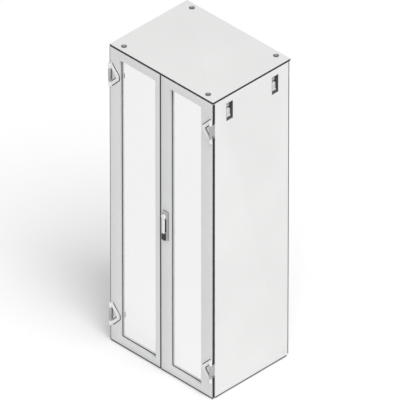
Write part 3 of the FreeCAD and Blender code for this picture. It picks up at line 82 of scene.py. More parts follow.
ShapeTest = Callable[[Vector, Vector], bool]


class Axis(Enum):
    """The three axes of the frame, by index."""

    X = 0
    Y = 1
    Z = 2

    def unit(self) -> Vector:
        """Unit vector along this axis."""
        return Vector([1.0 if i == self.value else 0.0 for i in range(3)])


class Side(Enum):
    """Left and right seen from the front, with the sign of X there."""

    LEFT = -1
    RIGHT = 1

    @property
    def word(self) -> str:
        """The side's name as it stands in node names."""
        return self.name.lower()

    def outer(self, low: Vector, high: Vector) -> float:
        """X of the side of a box that looks outwards."""
        return high.x if self is Side.RIGHT else low.x

    def inner(self, low: Vector, high: Vector) -> float:
        """X of the side of a box that looks to the middle plane."""
        return low.x if self is Side.RIGHT else high.x


# ------------------------------------------------------------------ bench tools


def clear_selection() -> None:
    """Leave edit mode and deselect everything."""
    if bpy.context.object and bpy.context.object.mode != "OBJECT":
        bpy.ops.object.mode_set(mode="OBJECT")
    bpy.ops.object.select_all(action="DESELECT")


def make_active(piece: Piece) -> None:
    """Select one piece alone and make it the active one."""
    clear_selection()
    piece.select_set(True)
    bpy.context.view_layer.objects.active = piece


def settle(piece: Piece, name: str) -> Piece:
    """Name a new primitive and put its place into its mesh.

    Args:
        piece: The object that an add operator has just made.
        name: The piece's name.

    Returns:
        The same object, at the origin, unturned and unscaled.
    """
    piece.name = name
    piece.data.name = name
    make_active(piece)
    bpy.ops.object.transform_apply(location=True, rotation=True, scale=True)
    return piece


def add_block(name: str, low: Vector | Point, high: Vector | Point) -> Piece:
    """Add a block between two corners.

    Args:
        name: The piece's name.
        low: One corner.
        high: The opposite corner, in any order.

    Returns:
        The block, ready to be shaped.
    """
    clear_selection()
    a, b = Vector(low), Vector(high)
    size = [abs(b[i] - a[i]) for i in range(3)]
    bpy.ops.mesh.primitive_cube_add(size=1.0, location=(a + b) / 2, scale=size)
    return settle(bpy.context.object, name)


def add_drum(name: str, radius: float, start: Vector | Point, end: Vector | Point,
             sides: int = 48) -> Piece:
    """Add a round or many-sided bar between two points.

    Args:
        name: The piece's name.
        radius: Radius over the corners.
        start: Centre of one end.
        end: Centre of the other end.
        sides: Number of flats round it.

    Returns:
        The drum, ready to be shaped.
    """
    clear_selection()
    a, b = Vector(start), Vector(end)
    turn = (b - a).to_track_quat("Z", "Y").to_euler()
    bpy.ops.mesh.primitive_cylinder_add(
        vertices=sides, radius=radius, depth=(b - a).length, location=(a + b) / 2, rotation=turn
    )
    return settle(bpy.context.object, name)


def whereabouts(item: bmesh.types.BMFace | bmesh.types.BMEdge) -> tuple[Vector, Vector]:
    """Centre and normal of a face, or middle and direction of an edge.

    Args:
        item: The face or edge.

    Returns:
        Its place and its direction.
    """
    if isinstance(item, bmesh.types.BMFace):
        return item.calc_center_median(), item.normal
    a, b = item.verts[0].co, item.verts[1].co
    return (a + b) / 2, (b - a).normalized()


@contextmanager
def editing(piece: Piece, test: ShapeTest | None = None, kind: str = "FACE") -> Iterator[None]:
    """Hold a piece in edit mode with the faces or edges that pass a test selected.

    Args:
        piece: The piece to edit.
        test: Tells from a place and a direction whether to select; everything if left out.
        kind: FACE or EDGE.

    Yields:
        Nothing; operators inside the block act on the selection.
    """
    make_active(piece)
    bpy.ops.object.mode_set(mode="EDIT")
    bpy.ops.mesh.select_mode(type=kind)
    bpy.ops.mesh.select_all(action="DESELECT" if test else "SELECT")
    if test:
        work = bmesh.from_edit_mesh(piece.data)
        for item in work.edges if kind == "EDGE" else work.faces:
            item.select_set(test(*whereabouts(item)))
        work.select_flush_mode()
        bmesh.update_edit_mesh(piece.data)
    yield
    bpy.ops.mesh.select_mode(type="FACE")
    bpy.ops.object.mode_set(mode="OBJECT")


def facing(axis: Axis, sign: int) -> ShapeTest:
    """A test for faces whose normal points along an axis, or against it for a sign of -1."""
    return lambda centre, normal: normal[axis.value] * sign > 0.95


def along(axis: Axis) -> ShapeTest:
    """A test for edges that run along an axis."""
    return lambda middle, direction: abs(direction[axis.value]) > 0.99


def round_edges(piece: Piece, test: ShapeTest, radius: float, segments: int = 6) -> None:
    """Round the edges that pass a test to a radius, in a number of steps."""
    with editing(piece, test, "EDGE"):
        bpy.ops.mesh.bevel(offset=radius, segments=segments, affect="EDGES", clamp_overlap=True)


def apply_modifier(piece: Piece, kind: str, **settings: object) -> None:
    """Add one modifier with its settings and apply it.

    Args:
        piece: The piece to shape.
        kind: The modifier's type.
        **settings: Its properties.
    """
    make_active(piece)
    modifier = piece.modifiers.new(kind.title(), kind)
    for key, value in settings.items():
        setattr(modifier, key, value)
    bpy.ops.object.modifier_apply(modifier=modifier.name)


def combine(piece: Piece, operation: str, others: tuple[Piece, ...]) -> None:
    """Cut or join a piece with others, which are used up.

    Args:
        piece: The piece that is kept.
        operation: DIFFERENCE or UNION.
        others: The tools.
    """
    for other in others:
        apply_modifier(piece, "BOOLEAN", object=other, operation=operation, solver="EXACT")
        bpy.data.objects.remove(other, do_unlink=True)


def cut(piece: Piece, *tools: Piece) -> None:
    """Cut tools out of a piece."""
    combine(piece, "DIFFERENCE", tools)


def fuse(piece: Piece, *others: Piece) -> None:
    """Make other pieces part of a piece."""
    combine(piece, "UNION", others)


def soften(piece: Piece, width: float, segments: int = 2, angle: float = 35.0) -> None:
    """Break all sharp edges with a small bevel and shade the piece smooth.

    Args:
        piece: The piece to finish.
        width: Width of the bevel.
        segments: Steps across it.
        angle: Edges sharper than this many degrees are broken.
    """
    apply_modifier(
        piece, "BEVEL", width=width, segments=segments, limit_method="ANGLE",
        angle_limit=math.radians(angle), use_clamp_overlap=True, harden_normals=False,
    )
    smooth(piece)


def smooth(piece: Piece, angle: float = 40.0) -> None:
    """Shade a piece smooth except across edges sharper than an angle in degrees."""
    make_active(piece)
    bpy.ops.object.shade_smooth_by_angle(angle=math.radians(angle))


def tray(name: str, low: Vector, high: Vector, wall: float, axis: Axis, sign: int) -> Piece:
    """Fold a sheet tray: a block whose open side is inset by the wall and pushed in.

    Args:
        name: The piece's name.
        low: Lowest corner.
        high: Highest corner.
        wall: Thickness of the sheet.
        axis: The axis that the open side looks along.
        sign: The way it looks.

    Returns:
        The tray.
    """
    piece = add_block(name, low, high)
    depth = abs(high[axis.value] - low[axis.value]) - wall
    with editing(piece, facing(axis, sign)):
        bpy.ops.mesh.inset(thickness=wall, depth=0.0)
        move = axis.unit() * (-sign * depth)
        bpy.ops.mesh.extrude_region_move(TRANSFORM_OT_translate={"value": move})
    return piece


def join(pieces: list[Piece], name: str) -> Piece:
    """Join separate pieces of one kind into one object.

    Args:
        pieces: The pieces.
        name: The joined object's name.

    Returns:
        The joined object.
    """
    clear_selection()
    for piece in pieces:
        piece.select_set(True)
    bpy.context.view_layer.objects.active = pieces[0]
    if len(pieces) > 1:
        bpy.ops.object.join()
    pieces[0].name = name
    pieces[0].data.name = name
    return pieces[0]


# ------------------------------------------------------------------ finishes


class Graph:
    """A material's nodes, made and wired by name."""

    def __init__(self, name: str) -> None:
        """Start an empty material with a name."""
        self.material = bpy.data.materials.new(name)
        self.material.use_nodes = True
        self.tree = self.material.node_tree
        self.tree.nodes.clear()
        self.output = self.tree.nodes.new("ShaderNodeOutputMaterial")
        self.place = self.tree.nodes.new("ShaderNodeTexCoord").outputs["Object"]

    def node(self, kind: str, **values: object) -> bpy.types.Node:
        """Add a node; values set its properties, or its inputs by name with _ for spaces.

        Args:
            kind: The node's type without the ShaderNode prefix.
            **values: Properties, constant inputs, or sockets to link from.

        Returns:
            The node.
        """
        made = self.tree.nodes.new("ShaderNode" + kind)
        for key, value in values.items():
            label = key.replace("_", " ")
            if label in made.inputs:
                if isinstance(value, Socket):
                    self.tree.links.new(value, made.inputs[label])
                else:
                    made.inputs[label].default_value = value
            else:
                setattr(made, key, value)
        return made

    def noise(self, scale: float, detail: float = 3.0, stretch: Point = (1, 1, 1)) -> Socket:
        """Noise on Object coordinates.

        Args:
            scale: Features per metre.
            detail: Octaves.
            stretch: Scale of each axis first, for brushed or drawn grain.

        Returns:
            The noise value.
        """
        mapping = self.node("Mapping", Vector=self.place, Scale=stretch)
        made = self.node("TexNoise", Vector=mapping.outputs["Vector"], Scale=scale, Detail=detail)
        return made.outputs["Fac"]

    def ramp(self, value: Socket, low: float, high: float, first: Colour, last: Colour) -> Socket:
        """Turn a value into a colour between two colours.

        Args:
            value: The value.
            low: Value that gives the first colour.
            high: Value that gives the last colour.
            first: The first colour.
            last: The last colour.

        Returns:
            The colour.
        """
        made = self.node("ValToRGB", Fac=value)
        for element, position, colour in zip(made.color_ramp.elements, (low, high), (first, last)):
            element.position = position
            element.color = (*colour, 1.0)
        return made.outputs["Color"]

    def spread(self, value: Socket, low: float, high: float) -> Socket:
        """Map a 0 to 1 value onto the range from low to high."""
        return self.node("MapRange", Value=value, To_Min=low, To_Max=high).outputs["Result"]

    def bump(self, height: Socket, strength: float, depth: float) -> Socket:
        """Bend the normal by a height value, at a strength from 0 to 1 and a depth in metres."""
        return self.node("Bump", Height=height, Strength=strength, Distance=depth).outputs["Normal"]

    def finish(self, shader: bpy.types.Node, output: str = "BSDF") -> bpy.types.Material:
        """Wire a shader's output to the material and return the material."""
        self.tree.links.new(shader.outputs[output], self.output.inputs["Surface"])
        return self.material

    def surface(self, tone: Socket, rough: Socket, normal: Socket, **extra: float) -> bpy.types.Material:
        """Finish the material with an opaque shader.

        Args:
            tone: Base colour.
            rough: Roughness.
            normal: Bent normal.
            **extra: Constant inputs, with _ for spaces.

        Returns:
            The finished material.
        """
        shader = self.node("BsdfPrincipled", Base_Color=tone, Roughness=rough, Normal=normal, **extra)
        return self.finish(shader)


def shade(colour: Colour, factor: float) -> Colour:
    """A colour with each channel multiplied by a factor."""
    return tuple(min(1.0, channel * factor) for channel in colour)


@dataclass(frozen=True)
class PowderCoat:
    """Textured powder coat: fine orange peel, faint cloudy tone and a soft gloss."""

    name: str
    colour: Colour
    roughness: float = 0.42
    peel_scale: float = 420.0
    peel_depth: float = 0.0003
    cloud: float = 0.025

    def material(self) -> bpy.types.Material:
        """Build the material."""
        graph = Graph(self.name)
        clouds = graph.noise(2.2, 4.0)
        speck = graph.noise(1400.0, 1.0)
        dark, light = shade(self.colour, 1 - self.cloud), shade(self.colour, 1 + self.cloud)
        base = graph.ramp(clouds, 0.3, 0.7, dark, light)
        flecks = graph.ramp(speck, 0.35, 0.65, (0.965,) * 3, (1.0,) * 3)
        tone = graph.node("Mix", data_type="RGBA", blend_type="MULTIPLY", Factor=1.0)
        graph.tree.links.new(base, tone.inputs[6])
        graph.tree.links.new(flecks, tone.inputs[7])
        rough = graph.spread(graph.noise(35.0, 3.0), self.roughness - 0.06, self.roughness + 0.08)
        normal = graph.bump(graph.noise(self.peel_scale, 2.0), 0.35, self.peel_depth)
        return graph.surface(tone.outputs[2], rough, normal, Coat_Weight=0.12, Coat_Roughness=0.25)


@dataclass(frozen=True)
class Galvanised:
    """Zinc-coated sheet: crystal spangle in tone and gloss."""

    name: str
    colour: Colour = (0.62, 0.64, 0.66)
    spangle_scale: float = 95.0
    metallic: float = 0.85

    def material(self) -> bpy.types.Material:
        """Build the material."""
        graph = Graph(self.name)
        cells = graph.node("TexVoronoi", Vector=graph.place, Scale=self.spangle_scale)
        grey = graph.node("RGBToBW", Color=cells.outputs["Color"]).outputs["Val"]
        tone = graph.ramp(grey, 0.1, 0.9, shade(self.colour, 0.86), shade(self.colour, 1.14))
        rough = graph.spread(grey, 0.30, 0.52)
        normal = graph.bump(graph.noise(420.0, 2.0), 0.15, 0.00005)
        return graph.surface(tone, rough, normal, Metallic=self.metallic)


@dataclass(frozen=True)
class Metal:
    """Turned, drawn or plated metal with a directional grain."""

    name: str
    colour: Colour
    roughness: float = 0.28
    grain: Point = (1.0, 1.0, 0.05)
    grain_scale: float = 900.0

    def material(self) -> bpy.types.Material:
        """Build the material."""
        graph = Graph(self.name)
        lines = graph.noise(self.grain_scale, 2.0, self.grain)
        tone = graph.ramp(lines, 0.3, 0.7, shade(self.colour, 0.88), shade(self.colour, 1.08))
        rough = graph.spread(graph.noise(60.0, 3.0), self.roughness - 0.06, self.roughness + 0.10)
        return graph.surface(tone, rough, graph.bump(lines, 0.12, 0.00004), Metallic=1.0)


@dataclass(frozen=True)
class Plastic:
    """Moulded plastic with a fine spark-eroded grain."""

    name: str
    colour: Colour
    roughness: float = 0.48
    grain_scale: float = 1100.0
    grain_depth: float = 0.00008

    def material(self) -> bpy.types.Material:
        """Build the material."""
        graph = Graph(self.name)
        grain = graph.noise(self.grain_scale, 2.0)
        mottle = graph.noise(28.0, 4.0)
        tone = graph.ramp(mottle, 0.3, 0.7, shade(self.colour, 0.94), shade(self.colour, 1.05))
        rough = graph.spread(mottle, self.roughness - 0.05, self.roughness + 0.09)
        return graph.surface(tone, rough, graph.bump(grain, 0.3, self.grain_depth))


@dataclass(frozen=True)
class Rubber:
    """Black seal rubber or cellular foam with a dusty bloom."""

    name: str
    colour: Colour = (0.014, 0.014, 0.015)
    cell_scale: float = 700.0
    cell_depth: float = 0.0002

    def material(self) -> bpy.types.Material:
        """Build the material."""
        graph = Graph(self.name)
        cells = graph.node("TexVoronoi", Vector=graph.place, Scale=self.cell_scale)
        bloom = graph.noise(18.0, 5.0)
        tone = graph.ramp(bloom, 0.35, 0.8, self.colour, shade(self.colour, 2.2))
        rough = graph.spread(bloom, 0.68, 0.86)
        return graph.surface(tone, rough, graph.bump(cells.outputs["Distance"], 0.4, self.cell_depth))


@dataclass(frozen=True)
class Pane:
    """Safety glass: clear body that lets light through, with a bright polished face."""

    name: str
    tint: Colour = (0.93, 0.965, 0.955)
    reflection_index: float = 34.0
    smear: float = 0.015

    def material(self) -> bpy.types.Material:
        """Build the material."""
        graph = Graph(self.name)
        clear = graph.node("BsdfTransparent", Color=(*self.tint, 1.0))
        rough = graph.spread(graph.noise(6.0, 4.0), 0.004, self.smear)
        gloss = graph.node("BsdfAnisotropic", Roughness=rough, Color=(1.0, 1.0, 1.0, 1.0))
        edge = graph.node("Fresnel", IOR=self.reflection_index)
        mix = graph.node("MixShader")
        for i, output in enumerate((edge.outputs["Fac"], clear.outputs["BSDF"], gloss.outputs["BSDF"])):
            graph.tree.links.new(output, mix.inputs[i])
        return graph.finish(mix, "Shader")


Finish = PowderCoat | Galvanised | Metal | Plastic | Rubber | Pane


@dataclass(frozen=True)
class Finishes:
    """Every finish of the cabinet."""

    enclosure: PowderCoat = PowderCoat("enclosure_paint", (0.80, 0.80, 0.795))
    # Door paint: the enclosure's paint made darker, painted shade for the doors' front faces
    door: PowderCoat = PowderCoat("door_paint", (0.76, 0.765, 0.765))
    hinge: PowderCoat = PowderCoat("hinge_casting", (0.86, 0.86, 0.855), 0.34, peel_depth=0.00006)
    bracket: PowderCoat = PowderCoat("bracket_casting", (0.42, 0.425, 0.43), 0.36, peel_depth=0.00006)
    lever: PowderCoat = PowderCoat("lever_casting", (0.88, 0.88, 0.875), 0.30, peel_depth=0.00004)
    galvanised: Galvanised = Galvanised("galvanised_sheet")
    zinc: Metal = Metal("bright_zinc", (0.80, 0.81, 0.83), roughness=0.24)
    steel: Metal = Metal("turned_steel", (0.50, 0.51, 0.53), roughness=0.30)
    dark_steel: Metal = Metal("black_chrome", (0.05, 0.05, 0.055), roughness=0.22)
    # Near-black paint for the base frame: painted shadow along the foot of the cabinet
    plinth: PowderCoat = PowderCoat("plinth_paint", (0.035, 0.036, 0.038), roughness=0.50)
    copper: Metal = Metal("bare_copper", (0.86, 0.43, 0.26), roughness=0.30, grain=(0.05, 1.0, 1.0))
    handle: Plastic = Plastic("handle_grey", (0.46, 0.47, 0.475))
    latch: Plastic = Plastic("latch_grey", (0.74, 0.745, 0.745))
    pocket: Plastic = Plastic("latch_dark", (0.07, 0.072, 0.075))
    black: Plastic = Plastic("lock_black", (0.018, 0.018, 0.02), roughness=0.40)
    insulator: Plastic = Plastic("insulator_red", (0.36, 0.045, 0.03))
    rubber: Rubber = Rubber("seal_rubber")
    foam: Rubber = Rubber("gasket_foam", (0.04, 0.04, 0.042), cell_scale=420.0, cell_depth=0.0004)
    glass: Pane = Pane("door_glass")


class Paintbox:
    """Makes each finish's material once and puts it on pieces."""

    def __init__(self) -> None:
        """Start with no materials made."""
        self.made: dict[str, bpy.types.Material] = {}

    def material(self, finish: Finish) -> bpy.types.Material:
        """The finish's material, made at its first use."""
        if finish.name not in self.made:
            self.made[finish.name] = finish.material()
        return self.made[finish.name]

    def coat(self, piece: Piece, finish: Finish) -> None:
        """Give a piece one finish all over."""
        piece.data.materials.clear()
        piece.data.materials.append(self.material(finish))

    def coat_nodes(self, finish: Finish, *nodes: str) -> None:
        """Give carried-over frame nodes a finish without touching their shape."""
        for node in nodes:
            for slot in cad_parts[node].material_slots:
                slot.material = self.material(finish)


PAINT = Paintbox()
FINISHES = Finishes()


def mount(piece: Piece, body: str, slot: str, finish: Finish, *nodes: str) -> None:
    """Finish a piece: coat it, ride it on its body and hide the frame nodes that it stands for.

    Args:
        piece: The piece.
        body: The body it moves with.
        slot: The record's material slot; not used.
        finish: Its finish.
        *nodes: The frame nodes that it replaces.
    """
    PAINT.coat(piece, finish)
    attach(piece, body)
    if nodes:
        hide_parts(*nodes)
    LOG.info("%s rides on %s, %d faces", piece.name, body, len(piece.data.polygons))


def mount_rubber(piece: Piece, body: str, *nodes: str) -> None:
    """Finish a piece of black rubber on its body, in place of the nodes named."""
    mount(piece, body, "rubber", FINISHES.rubber, *nodes)


def edge_profile(name: str, body: str, low: Point, high: Point, sheet: tuple[Point, Point],
                 *cutters: Piece) -> None:
    """Black profile over a folded edge: a block with the sheet that it wraps cut out.

    Args:
        name: The profile's name.
        body: The body it moves with.
        low: One corner of the block.
        high: The opposite corner.
        sheet: Two opposite corners of the space that stays free.
        *cutters: More pieces to cut out.
    """
    profile = add_block(name, low, high)
    cut(profile, add_block("sheet_tool", *sheet), *cutters)
    soften(profile, 0.25 * MM)
    mount_rubber(profile, body)


def shells(node: str) -> list[tuple[Vector, Vector]]:
    """Boxes of the separate solids inside one frame node, from low to high.

    Args:
        node: The node's name.

    Returns:
        Lowest and highest corner of each solid, sorted by X, Y and Z.
    """
    work = bmesh.new()
    work.from_mesh(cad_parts[node].data)
    bmesh.ops.remove_doubles(work, verts=work.verts, dist=1e-6)
    seen: set[int] = set()
    found = []
    for start in work.verts:
        if start.index in seen:
            continue
        stack, members = [start], []
        seen.add(start.index)
        while stack:
            vert = stack.pop()
            members.append(vert.co.copy())
            for edge in vert.link_edges:
                other = edge.other_vert(vert)
                if other.index not in seen:
                    seen.add(other.index)
                    stack.append(other)
        low = Vector([min(co[i] for co in members) for i in range(3)])
        high = Vector([max(co[i] for co in members) for i in range(3)])
        found.append((low, high))
    work.free()
    return sorted(found, key=lambda box: tuple(round(v, 4) for v in box[0]))


# ------------------------------------------------------------------ small hardware


@dataclass
class HexSocketScrew:
    """A screw head with a dished crown, an inner ring and a hexagon socket.

    The head stands at the origin with its seat on z = 0, pointing up.
    """

    radius: float
    height: float
    dish: float = 0.0012
    rim: float = 0.0022
    socket: float = 0.0045
    washer: float = 0.0

    def head(self) -> Piece:
        """Model the head once, at the origin."""
        head = add_drum("screw_head", self.radius, (0, 0, self.washer), (0, 0, self.height), 40)
        with editing(head, facing(Axis.Z, 1)):
            bpy.ops.mesh.inset(thickness=self.rim)
            bpy.ops.mesh.inset(thickness=self.rim * 0.35, depth=-self.dish)
        foot, top = (0, 0, self.height * 0.35), (0, 0, self.height * 2)
        cut(head, add_drum("socket_tool", self.socket, foot, top, 6))
        soften(head, min(0.0006, self.height * 0.15))
        if self.washer > 0:
            ring = add_drum("screw_washer", self.radius * 1.1, (0, 0, 0), (0, 0, self.washer), 40)
            soften(ring, self.washer * 0.35)
            head = join([head, ring], "screw_head")
        return head

    def on(self, name: str, seats: list[Vector], outward: Vector) -> Piece:
        """A set of equal heads as one piece.

        Args:
            name: The set's name.
            seats: Centre of each seat.
            outward: The way the heads point.

        Returns:
            The joined set.
        """
        master = self.head()
        copies = []
        for i, seat in enumerate(seats):
            make_active(master)
            bpy.ops.object.duplicate(linked=False)
            copy = bpy.context.object
            copy.rotation_euler = outward.to_track_quat("Z", "Y").to_euler()
            copy.location = seat
            copies.append(settle(copy, f"{name}_{i}"))
        bpy.data.objects.remove(master, do_unlink=True)
        return join(copies, name)


# ------------------------------------------------------------------ carcass


@dataclass
class Carcass:
    """Roof, rear covers, frame and interior: everything that stays still."""

    body: str = "carcass"
    sheet: float = 1.5 * MM
    roof_sheet: float = 2.0 * MM
    fold_radius: float = 1.6 * MM
    roof_head: float = 13.0 * MM
    roof_shank: float = 5.9 * MM

    def build(self) -> None:
        """Model and dress every piece of the carcass."""
        self.roof()
        self.roof_screws()
        self.roof_seal_and_shadow()
        self.rear()
        self.interior()

    def roof(self) -> None:
        """Folded roof cover with soft outer folds."""
        low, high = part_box("roof_panel")
        cover = tray("roof_cover", low, high, self.roof_sheet, Axis.Z, -1)
        upper = lambda middle, direction: middle.z > high.z - NEAR
        corner = lambda middle, direction: abs(direction.z) > 0.99 and abs(middle.x) > high.x - NEAR
        round_edges(cover, corner, 3.0 * MM, 4)
        round_edges(cover, upper, self.fold_radius, 4)
        smooth(cover)
        mount(cover, self.body, "enclosure_paint", FINISHES.enclosure, "roof_panel")

    def roof_screws(self) -> None:
        """Four large dished screws on sealing washers."""
        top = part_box("roof_panel")[1].z
        screw = HexSocketScrew(self.roof_head, 5.0 * MM, dish=1.4 * MM, rim=2.6 * MM, socket=5.4 * MM,
                               washer=1.3 * MM)
        up = Axis.Z.unit()
        centres = [(low + high) / 2 for low, high in shells("roof_screws")]
        seats = [Vector((centre.x, centre.y, top)) for centre in centres]
        heads = screw.on("roof_screw_heads", seats, up)
        shanks, washers = [], []
        for i, seat in enumerate(seats):
            shanks.append(add_drum(f"shank_{i}", self.roof_shank, seat - up * 30 * MM, seat, 24))
            soften(shanks[i], 1.0 * MM)
            washers.append(add_drum(f"washer_{i}", self.roof_head + 3.0 * MM, seat, seat + up * 1.6 * MM, 48))
            cut(washers[i], add_drum("bore_tool", 6.2 * MM, seat - up * PAST, seat + up * PAST, 32))
            soften(washers[i], 0.6 * MM, 3)
        screws = join([heads] + shanks, "roof_screw_set")
        mount(screws, self.body, "screw_steel", FINISHES.steel, "roof_screws")
        mount_rubber(join(washers, "roof_sealing_washers"), self.body)

    def roof_seal_and_shadow(self) -> None:
        """Black edge profile on the roof's rim, which fills the joint above the doors and sides; its black is
        partly a real seal and partly painted shadow in that joint.
        """
        low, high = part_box("roof_panel")
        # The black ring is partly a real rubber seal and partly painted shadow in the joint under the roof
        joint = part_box("door_left_skin")[1].z + 0.6 * MM
        proud, depth, lip = 0.8 * MM, 6 * MM, 7.6 * MM
        out = Vector((proud, proud, 0))
        ring = add_block("roof_edge_seal_and_shadow", Vector((low.x, low.y, joint)) - out,
                         Vector((high.x, high.y, low.z + lip)) + out)
        core = add_block("core_tool", (low.x + depth, low.y + depth, joint - PAST),
                         (high.x - depth, high.y - depth, high.z))
        cut(ring, core, add_block("rim_tool", low, (high.x, high.y, high.z + PAST)))
        round_edges(ring, along(Axis.Z), 2.5 * MM, 4)
        soften(ring, 0.3 * MM, 2, 50)
        mount_rubber(ring, self.body)

    def rear(self) -> None:
        """Rear panel, lower rear cover and their screws."""
        low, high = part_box("rear_panel")
        panel = tray("rear_cover", low, high, self.sheet, Axis.Y, -1)
        back = high.y
        round_edges(panel, lambda middle, direction: middle.y > back - NEAR, self.fold_radius, 3)
        smooth(panel)
        mount(panel, self.body, "enclosure_paint", FINISHES.enclosure, "rear_panel")
        cover = add_block("rear_foot_cover", *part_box("rear_lower_cover"))
        soften(cover, 0.5 * MM)
        mount(cover, self.body, "enclosure_paint", FINISHES.enclosure, "rear_lower_cover")
        screw = HexSocketScrew(6.0 * MM, 3.0 * MM, dish=0.6 * MM, rim=1.2 * MM, socket=2.6 * MM)
        seats = []
        for low, high in shells("rear_screws"):
            centre = (low + high) / 2
            seats.append(Vector((centre.x, high.y - screw.height, centre.z)))
        heads = screw.on("rear_screw_set", seats, Axis.Y.unit())
        mount(heads, self.body, "screw_steel", FINISHES.zinc, "rear_screws")

    def interior(self) -> None:
        """Finishes for the frame and everything fixed inside it."""
        PAINT.coat_nodes(
            FINISHES.galvanised, "roof_frame", "front_posts", "rear_posts", "frame_struts",
            "mounting_rails", "mounting_plate", "gland_plates", "rod_keepers",
        )
        # The base frame is painted near black: painted shadow at floor level
        PAINT.coat_nodes(FINISHES.plinth, "base_frame")
        PAINT.coat_nodes(FINISHES.zinc, "mounting_bolts", "frame_screws")
        PAINT.coat_nodes(FINISHES.copper, "earth_bar")
        PAINT.coat_nodes(FINISHES.insulator, "earth_bar_supports")
        PAINT.coat_nodes(FINISHES.foam, "frame_gaskets")


# ------------------------------------------------------------------ side panels


@dataclass
class SideLatch:
    """Recessed quick-release latch: pocket, plate behind the finger space, and slider."""

    side: Side
    low: Vector
    high: Vector
    wall: float = 2.0 * MM
    sill_top: float = 11.4 * MM
    sill_depth: float = 9.0 * MM
    slot_half: float = 5.3 * MM
    slot_top: float = 51.9 * MM
    slider_foot: float = 11.9 * MM
    slider_back: float = 23.7 * MM
    slider_sheet: float = 8.0 * MM
    slider_arch: float = 9.0 * MM
    lip_reach: float = 6.0 * MM
    hook_back: float = 26.5 * MM
    rib_pitch: float = 6.0 * MM
    rib_count: int = 4

    def __post_init__(self) -> None:
        """Work out what the latch's pieces share."""
        self.out = self.side.value
        self.end = "front" if self.low.y < 0 else "rear"
        self.name = f"{self.side.word}_{self.end}_latch"
        self.panel = f"{self.side.word}_side"
        self.outer_x = self.side.outer(self.low, self.high)
        self.inner_x = self.side.inner(self.low, self.high)
        self.middle = (self.low.y + self.high.y) / 2

    def pocket(self) -> None:
        """Pocket with finger space above, a thick sill below the slider and a slot for its hook."""
        low, high, out, middle = self.low, self.high, self.out, self.middle
        pocket = tray(f"{self.name}_pocket", low, high, self.wall, Axis.X, out)
        sill_back, sill_face = self.outer_x - out * self.sill_depth, self.outer_x - out * 0.2 * MM
        fuse(pocket, add_block("sill_tool", (sill_back, low.y + 1 * MM, low.z + 1 * MM),
                               (sill_face, high.y - 1 * MM, low.z + self.sill_top)))
        back, half = self.inner_x, self.slot_half
        cut(pocket, add_block("slot_tool", (back - 4 * MM, middle - half, low.z + self.sill_top + 0.2 * MM),
                              (back + 4 * MM, middle + half, low.z + self.slot_top)))
        soften(pocket, 0.5 * MM)
        mount(pocket, self.panel, "latch_plastic", FINISHES.pocket, f"latch_housings_{self.side.word}")

    def plate(self) -> None:
        """Light plate on the back wall of the finger space."""
        low, high, out, middle = self.low, self.high, self.out, self.middle
        back = self.inner_x + out * self.wall
        plate = add_block(f"{self.name}_plate", (back - out * 0.5 * MM, low.y + 5 * MM, high.z - 47 * MM),
                          (back + out * 0.2 * MM, high.y - 5 * MM, high.z - 5 * MM))
        round_edges(plate, along(Axis.X), 3.0 * MM, 5)
        cut(plate, add_block("slot_tool", (back - PAST, middle - 5.4 * MM, high.z - 48 * MM),
                             (back + PAST, middle + 5.4 * MM, low.z + 52 * MM)))
        soften(plate, 0.08 * MM)
        mount(plate, self.panel, "latch_plastic", FINISHES.latch)

    def slider(self) -> None:
        """Arched slider with a ribbed thumb grip, a lip at its foot and a hook behind."""
        node = f"latch_slider_{self.side.word}_{self.end}"
        low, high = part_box(node)
        out, middle = self.out, (low.y + high.y) / 2
        back = self.outer_x - out * self.slider_back
        face = back + out * self.slider_sheet
        foot = self.low.z + self.slider_foot
        hook = self.outer_x - out * self.hook_back
        tile = add_block(f"{self.name}_slider", (back, low.y, foot), (face, high.y, high.z))
        top = lambda middle, direction: abs(direction.x) > 0.99 and middle.z > high.z - NEAR
        round_edges(tile, top, self.slider_arch, 6)
        lip = add_block("lip_tool", (back, low.y + 0.2 * MM, foot + 0.2 * MM),
                        (face + out * self.lip_reach, high.y - 0.2 * MM, foot + 8.0 * MM))
        stem = add_block("stem_tool", (hook - out * 4 * MM, middle - 5 * MM, low.z),
                         (hook, middle + 5 * MM, foot + 19 * MM))
        bridge = add_block("bridge_tool", (hook - out * 1 * MM, middle - 4.9 * MM, foot + 0.1 * MM),
                           (back + out * 1 * MM, middle + 4.9 * MM, foot + 18.9 * MM))
        ribs = []
        for i in range(self.rib_count):
            z = foot + 16 * MM + i * self.rib_pitch
            ribs.append(add_block("rib_tool", (face - out * 1 * MM, middle - 12 * MM, z),
                                  (face + out * 1.2 * MM, middle + 12 * MM, z + 2.2 * MM)))
        fuse(tile, lip, stem, bridge, *ribs)
        soften(tile, 0.6 * MM)
        mount(tile, self.name, "latch_plastic", FINISHES.latch, node)


